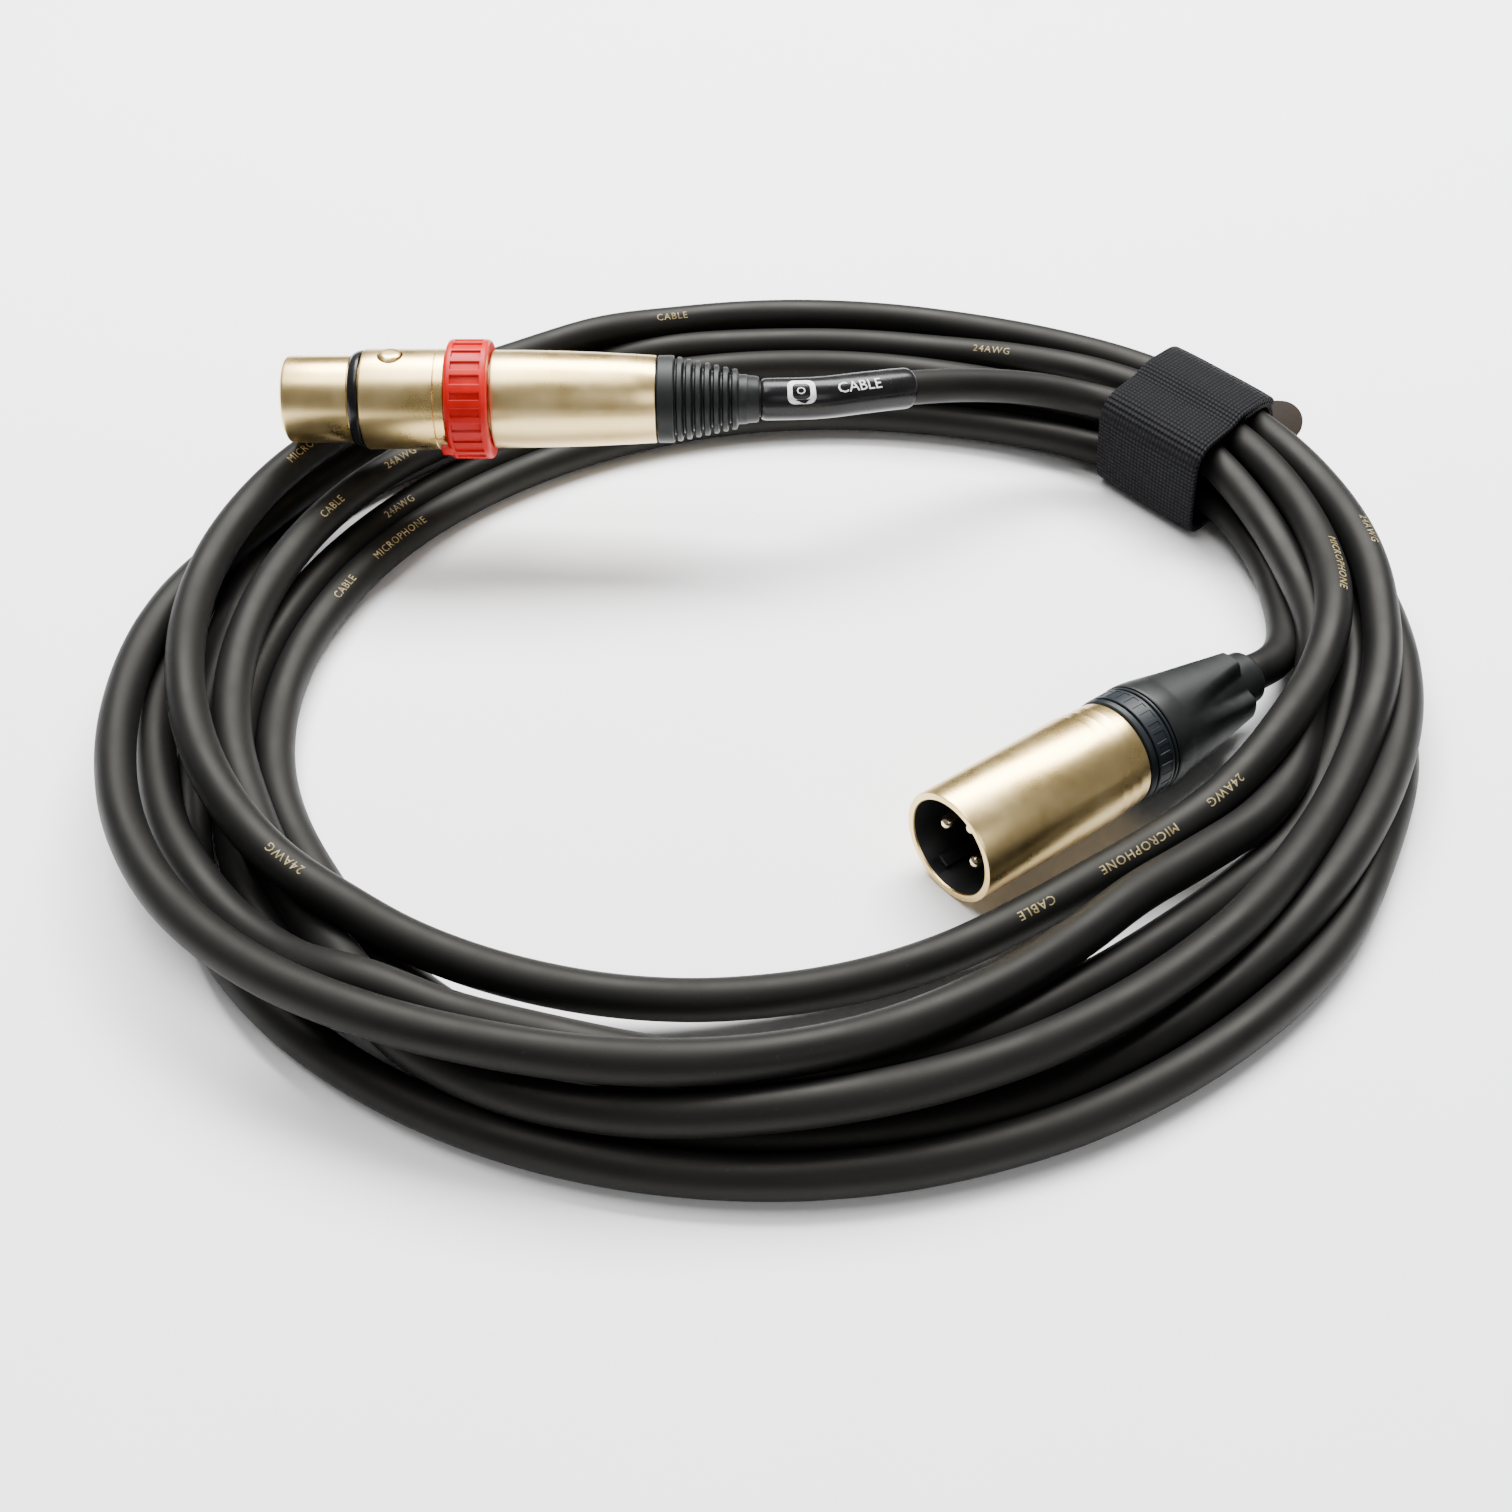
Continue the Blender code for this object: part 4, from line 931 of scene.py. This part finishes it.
def flat_text(words, size, spacing=1.0):
    curve = bpy.data.curves.new("words", "FONT")
    curve.body, curve.size, curve.space_character = words, size * MM, spacing
    curve.extrude, curve.resolution_u = 0.015 * MM, 2
    curve.align_x, curve.align_y = "CENTER", "CENTER"
    holder = bpy.data.objects.new("words", curve)
    mesh = bpy.data.meshes.new_from_object(holder)
    bpy.data.objects.remove(holder)
    bm = bmesh.new()
    bm.from_mesh(mesh)
    return bm


def rows_cut(bm, height):
    """Cuts a flat shape into rows, so that it can bend round the cable."""
    reach = max(abs(v.co.y) for v in bm.verts)
    for k in range(-int(reach / height), int(reach / height) + 1):
        geom = bm.verts[:] + bm.edges[:] + bm.faces[:]
        bmesh.ops.bisect_plane(bm, geom=geom, dist=1e-8, plane_co=(0, k * height, 0), plane_no=(0, 1, 0))
    return bm


def wrapped(bm, middle, turn, radius, reading=1):
    """Wraps a flat shape round the cable. Its middle is a distance down the line; turn is from the top."""
    for vert in bm.verts:
        distance = middle + reading * vert.co.x
        place = Vector(line_at(distance))
        ahead = Vector(line_at(distance + 0.001) - line_at(distance - 0.001)).normalized() * reading
        up = (Vector((0, 0, 1)) - ahead * ahead.z).normalized()
        side = up.cross(ahead)
        angle = math.radians(turn) + vert.co.y / radius
        vert.co = place + (up * math.cos(angle) + side * math.sin(angle)) * (radius + vert.co.z)
    return bm


def gather(parts, name):
    """Joins several bmeshes into one mesh."""
    whole = bmesh.new()
    for part in parts:
        scratch = bpy.data.meshes.new("part")
        part.to_mesh(scratch)
        part.free()
        whole.from_mesh(scratch)
        bpy.data.meshes.remove(scratch)
    bmesh.ops.remove_doubles(whole, verts=whole.verts, dist=1e-7)
    mesh = bpy.data.meshes.new(name)
    whole.to_mesh(mesh)
    whole.free()
    return mesh


def distance_at(turn, angle):
    """How far down the line a turn passes an angle, with turns counted from 0 at the tie."""
    flat = centreline[:, :2] - np.array(COIL_CENTRE[:2])
    swept_angle = np.unwrap(np.arctan2(flat[:, 1], flat[:, 0]))
    goal = math.radians(TIE_ANGLE) - math.radians((TIE_ANGLE - angle) % 360) - math.tau * turn
    inside = np.flatnonzero(cable_at > 0.09)
    return float(cable_at[inside[np.argmin(np.abs(swept_angle[inside] - goal))]])


# %% Print on the jacket
PRINT = (  # turn, angle round the coil, turn of the print from the top, words
    (1, -33, 22, "24AWG"), (1, -46, 24, "MICROPHONE"), (1, -61, 26, "CABLE"), (1, 4, 18, "MICROPHONE"),
    (1, 153, -32, "MICROPHONE"), (1, 104, -38, "CABLE"), (0, 63, -35, "24AWG"), (0, 171, -20, "CABLE"),
    (2, 147, -36, "24AWG"), (2, 160, -34, "CABLE"), (2, 10, 15, "24AWG"), (3, -20, 20, "CABLE"),
    (5, 150, -34, "24AWG"), (6, 156, -34, "MICROPHONE"), (6, 168, -28, "CABLE"), (1, -140, 12, "24AWG"),
)
ink_parts = []
for turn, angle, lean, words in PRINT:
    text = rows_cut(flat_text(words, 2.1, 1.15), 0.00035)
    ink_parts.append(wrapped(text, distance_at(turn, angle), lean, CABLE_DIAMETER / 2 + 0.00003))
gold_ink = ink_finish("gold_ink", (0.16, 0.125, 0.05), (0.34, 0.27, 0.12), 0.4)
new_piece("jacket_print", gather(ink_parts, "jacket_print"), "jacket", finish=gold_ink)

# %% [markdown]
# The sleeve's label is plain: a rounded white frame with a ring in it, and one general word.

# %% Label on the sleeve


def rounded_plate(half, corner, thick):
    """A flat square plate with round corners, in mm."""
    bm = bmesh.new()
    bmesh.ops.create_cube(bm, size=1)
    size = Matrix.Diagonal((2 * half * MM, 2 * half * MM, thick * MM, 1))
    bmesh.ops.transform(bm, matrix=size, verts=bm.verts)
    upright_edges = [e for e in bm.edges if abs(e.verts[0].co.z - e.verts[1].co.z) > 1e-9]
    bmesh.ops.bevel(
        bm, geom=upright_edges, offset=corner * MM, offset_type="OFFSET", affect="EDGES", segments=6,
        profile=0.5, material=-1, clamp_overlap=True,
    )
    return bm


def plate_frame():
    """The plate with a smaller one cut out of it."""
    outer = to_mesh(rounded_plate(2.45, 1.3, 0.03), "outer")
    inner = to_mesh(rounded_plate(1.55, 0.9, 0.2), "inner")
    bm = bmesh.new()
    bm.from_mesh(changed_by(outer, inner, "DIFFERENCE"))
    return bm


LABEL_RADIUS, LABEL_TURN, LABEL_ROW = SLEEVE_RADIUS + 0.00003, -38, 0.0004
white_ink = ink_finish("white_ink", (0.62, 0.62, 0.62), (0.80, 0.80, 0.79), 0.35)
LABEL = ((plate_frame(), 0.0072), (flat_text("O", 2.0), 0.0072), (flat_text("CABLE", 3.0), 0.0178))
label_parts = [
    wrapped(rows_cut(shape, LABEL_ROW), start + along, LABEL_TURN, LABEL_RADIUS) for shape, along in LABEL
]
new_piece("sleeve_label", gather(label_parts, "sleeve_label"), "shrink_sleeve", finish=white_ink)

# %% [markdown]
# ## The tie
# The tie is a 25 mm woven strap wrapped round all the strands, its free end lying over itself. A strap under
# tension follows the outside of what it holds, so its path is the outline that a taut band makes round the
# strands' own circles. A flat grid is then bent onto that path, and Solidify gives it its thickness.

# %% Path of the tie
TIE_WIDTH = 0.0250
OUTWARD = Vector((math.cos(math.radians(TIE_ANGLE)), math.sin(math.radians(TIE_ANGLE)), 0))
ALONG_COIL = Vector((-OUTWARD.y, OUTWARD.x, 0))


def taut_outline(points):
    """The outline that a taut band makes round points, turned anticlockwise."""
    points = sorted({(round(x, 6), round(z, 6)) for x, z in points})
    halves = []
    for row in (points, points[::-1]):
        half = []
        for p in row:
            while len(half) > 1:
                (ax, az), (bx, bz) = half[-2], half[-1]
                if (bx - ax) * (p[1] - az) - (bz - az) * (p[0] - ax) > 0:
                    break
                half.pop()
            half.append(p)
        halves.append(half[:-1])
    return halves[0] + halves[1]


def strand_circles():
    """Points round each strand where it passes under the tie, as (outward, height)."""
    offset = centreline[:, :2] - np.array(COIL_CENTRE[:2])
    out = offset @ np.array(OUTWARD[:2])
    along = offset @ np.array(ALONG_COIL[:2])
    under = (np.abs(along) < TIE_WIDTH / 2) & (out > 0)
    radius = CABLE_DIAMETER / 2 + 0.0002
    turns = np.linspace(0, math.tau, 24, endpoint=False)
    return [
        (x + radius * math.cos(a), max(z + radius * math.sin(a), 0.0016))
        for x, z in zip(out[under], centreline[under, 2])
        for a in turns
    ]


outline = taut_outline(strand_circles())
loop = np.array([*outline, outline[0]])
loop_at = np.r_[0, np.cumsum(np.linalg.norm(np.diff(loop, axis=0), axis=1))]
print(f"the tie goes {loop_at[-1] * 1000:.0f} mm round {loop.min(axis=0)} {loop.max(axis=0)}")

# %% [markdown]
# The path starts on top of the strands, goes down the outer side, under, up the inner side and over the top
# again, where it lies on its own start and ends at the outer edge with rounded corners. The weave is a
# lattice of two crossing waves on the strap's own map, with a painted highlight where threads cross.

# %% Tie
STRAP_THICK = 0.0012
STRAP_LIFT = 0.0013
OVERLAP_RAMP = 0.0060
STRAP_CORNER = 0.0035
STRAP_LEAN = 0.17  # it leans a little, as a tie closed by hand does
clockwise = loop[::-1]
clock_at = np.r_[0, np.cumsum(np.linalg.norm(np.diff(clockwise, axis=0), axis=1))]
AROUND = clock_at[-1]


def loop_point(distance):
    at = distance % AROUND
    return np.array([np.interp(at, clock_at, clockwise[:, i]) for i in (0, 1)])


def top_at(reach):
    """Where along the path the top of the bundle is at a distance out from the coil's centre."""
    spots = np.linspace(0, AROUND, 2000)
    points = np.array([loop_point(s) for s in spots])
    high = points[:, 1] > points[:, 1].max() - 0.004
    return spots[high][np.argmin(np.abs(points[high, 0] - reach))]


strap_start = top_at(loop[:, 0].mean())
strap_length = AROUND + (top_at(loop[:, 0].max() - 0.0015) - strap_start) % AROUND


def strap_point(distance, across):
    """A point of the strap's middle layer."""
    at = strap_start + distance
    span = 0.0012
    ahead = loop_point(at + span) - loop_point(at - span)
    ahead /= np.linalg.norm(ahead)
    near = (loop_point(at + span) + loop_point(at - span) + 2 * loop_point(at)) / 4
    lift = 0.0002 + STRAP_THICK / 2 + STRAP_LIFT * ease((distance - AROUND) / OVERLAP_RAMP + 1)
    edge = abs(across) / (TIE_WIDTH / 2)
    lift += 0.00012 * math.sin(distance * 260) - 0.0002 * edge**4
    out, height = near + np.array([-ahead[1], ahead[0]]) * lift
    height = max(height, STRAP_THICK / 2 + 0.0001)
    along = across + STRAP_LEAN * (out - loop[:, 0].max()) + 0.0006
    return COIL_CENTRE + OUTWARD * out + ALONG_COIL * along + Vector((0, 0, height))


def strap_mesh():
    bm = bmesh.new()
    bm.loops.layers.uv.new("UVMap")
    bmesh.ops.create_grid(bm, x_segments=180, y_segments=16, size=0.5, calc_uvs=True)
    for vert in bm.verts:
        distance = (vert.co.x + 0.5) * strap_length
        left = strap_length - distance
        half = TIE_WIDTH / 2
        if left < STRAP_CORNER:
            half -= STRAP_CORNER - math.sqrt(max(STRAP_CORNER**2 - (STRAP_CORNER - left) ** 2, 0))
        vert.co = strap_point(distance, vert.co.y * 2 * half)
    mesh = bpy.data.meshes.new("strap")
    bm.to_mesh(mesh)
    bm.free()
    mesh.shade_smooth()
    return mesh


THREAD = 0.0017


def fabric_finish():
    f = Finish("tie_fabric", {"Specular IOR Level": 0.12})
    along, across = f.uv()
    p, q = along * (math.tau * strap_length / THREAD), across * (math.tau * TIE_WIDTH / THREAD)
    lattice = (p + q).sine() * (p - q).sine()
    fuzz, wear = f.noise(3200, 3), f.noise(160, 3)
    base = f.blend(wear, (0.0025, 0.0025, 0.0035), (0.0055, 0.0055, 0.0065))
    # Painted highlight: where threads cross and stand up, the colour is made lighter, broken up by the fuzz.
    points = f.between(lattice, 0.55, 0.95, 0, 1) * f.between(fuzz, 0.4, 0.62, 0.1, 1)
    colour = f.blend(points, base, (0.030, 0.031, 0.036))
    rough = f.between(fuzz, 0.3, 0.7, 0.6, 0.85)
    normal = f.relief(fuzz, 0.00004, f.relief(lattice, 0.00022))
    return f.give(Base_Color=colour, Roughness=rough, Normal=normal)


FINISHES["tie_fabric"] = fabric_finish()
strap = new_piece("strap", strap_mesh(), "tie_fabric", stands_for=["tie_strap"])
wall = strap.modifiers.new("thickness", "SOLIDIFY")
wall.thickness, wall.offset, wall.use_even_offset = STRAP_THICK, 0, True
hem = strap.modifiers.new("hem", "BEVEL")
hem.width, hem.segments, hem.limit_method, hem.angle_limit = 0.0003, 2, "ANGLE", math.radians(50)
print(f"strap {strap_length * 1000:.0f} mm long")

# %% [markdown]
# A small tab of stiff hook tape stands out at the outer side: a tongue with a round end, slightly bent.

# %% Hook tab
TAB_HALF, TAB_THICK = 0.0043, 0.0012
TAB_AHEAD = Vector((0.974, -0.190, 0.12)).normalized()
TAB_FACING = Vector((0.10, -0.50, 0.84))
TAB_PLACE = Vector((0.0998, 0.0668, 0.0135))


def hook_tab():
    bm = bmesh.new()
    bmesh.ops.create_circle(bm, cap_ends=True, segments=64, radius=TAB_HALF)
    for vert in bm.verts:
        if vert.co.x < 0:
            vert.co.x = vert.co.x * 0.4 - 0.0015
            vert.co.y = math.copysign(min(abs(vert.co.y) * 1.3, TAB_HALF), vert.co.y)
    raised = bmesh.ops.extrude_face_region(bm, geom=bm.faces[:])
    top = [v for v in raised["geom"] if isinstance(v, bmesh.types.BMVert)]
    bmesh.ops.translate(bm, verts=top, vec=(0, 0, TAB_THICK))
    clean(bm)
    round_edges(bm, 0.3, 3, 50)
    for k in range(-4, 10):
        geom = bm.verts[:] + bm.edges[:] + bm.faces[:]
        bmesh.ops.bisect_plane(bm, geom=geom, dist=1e-7, plane_co=(k * 0.0005, 0, 0), plane_no=(1, 0, 0))
    for vert in bm.verts:
        vert.co.z -= 14 * max(vert.co.x + 0.002, 0) ** 2
    across = TAB_FACING.cross(TAB_AHEAD).normalized()
    facing = TAB_AHEAD.cross(across)
    turned = Matrix((TAB_AHEAD, across, facing)).transposed().to_4x4()
    place = Matrix.Translation(TAB_PLACE) @ turned
    return to_mesh(bm, "hook_tab", place)


new_piece("hook_tab", hook_tab(), "hook_tape", stands_for=["tie_hook_tab"])

# %% [markdown]
# ## Last steps
# The CAD nodes that still show get their finishes, and the pieces that make up the male plug are listed.

# %% Finishes and the male plug's pieces
dress_nodes()
MALE_PIECES = [*pin_pieces, *(bpy.data.objects[n] for n in ("male_barrel", "pin_carrier", "coding_ring"))]
MALE_PIECES += [bpy.data.objects["tongued_boot"], "male_ground_clip", "male_chuck"]
MALE_PIECES += [f"male_core_{number}" for number in (1, 2, 3)]
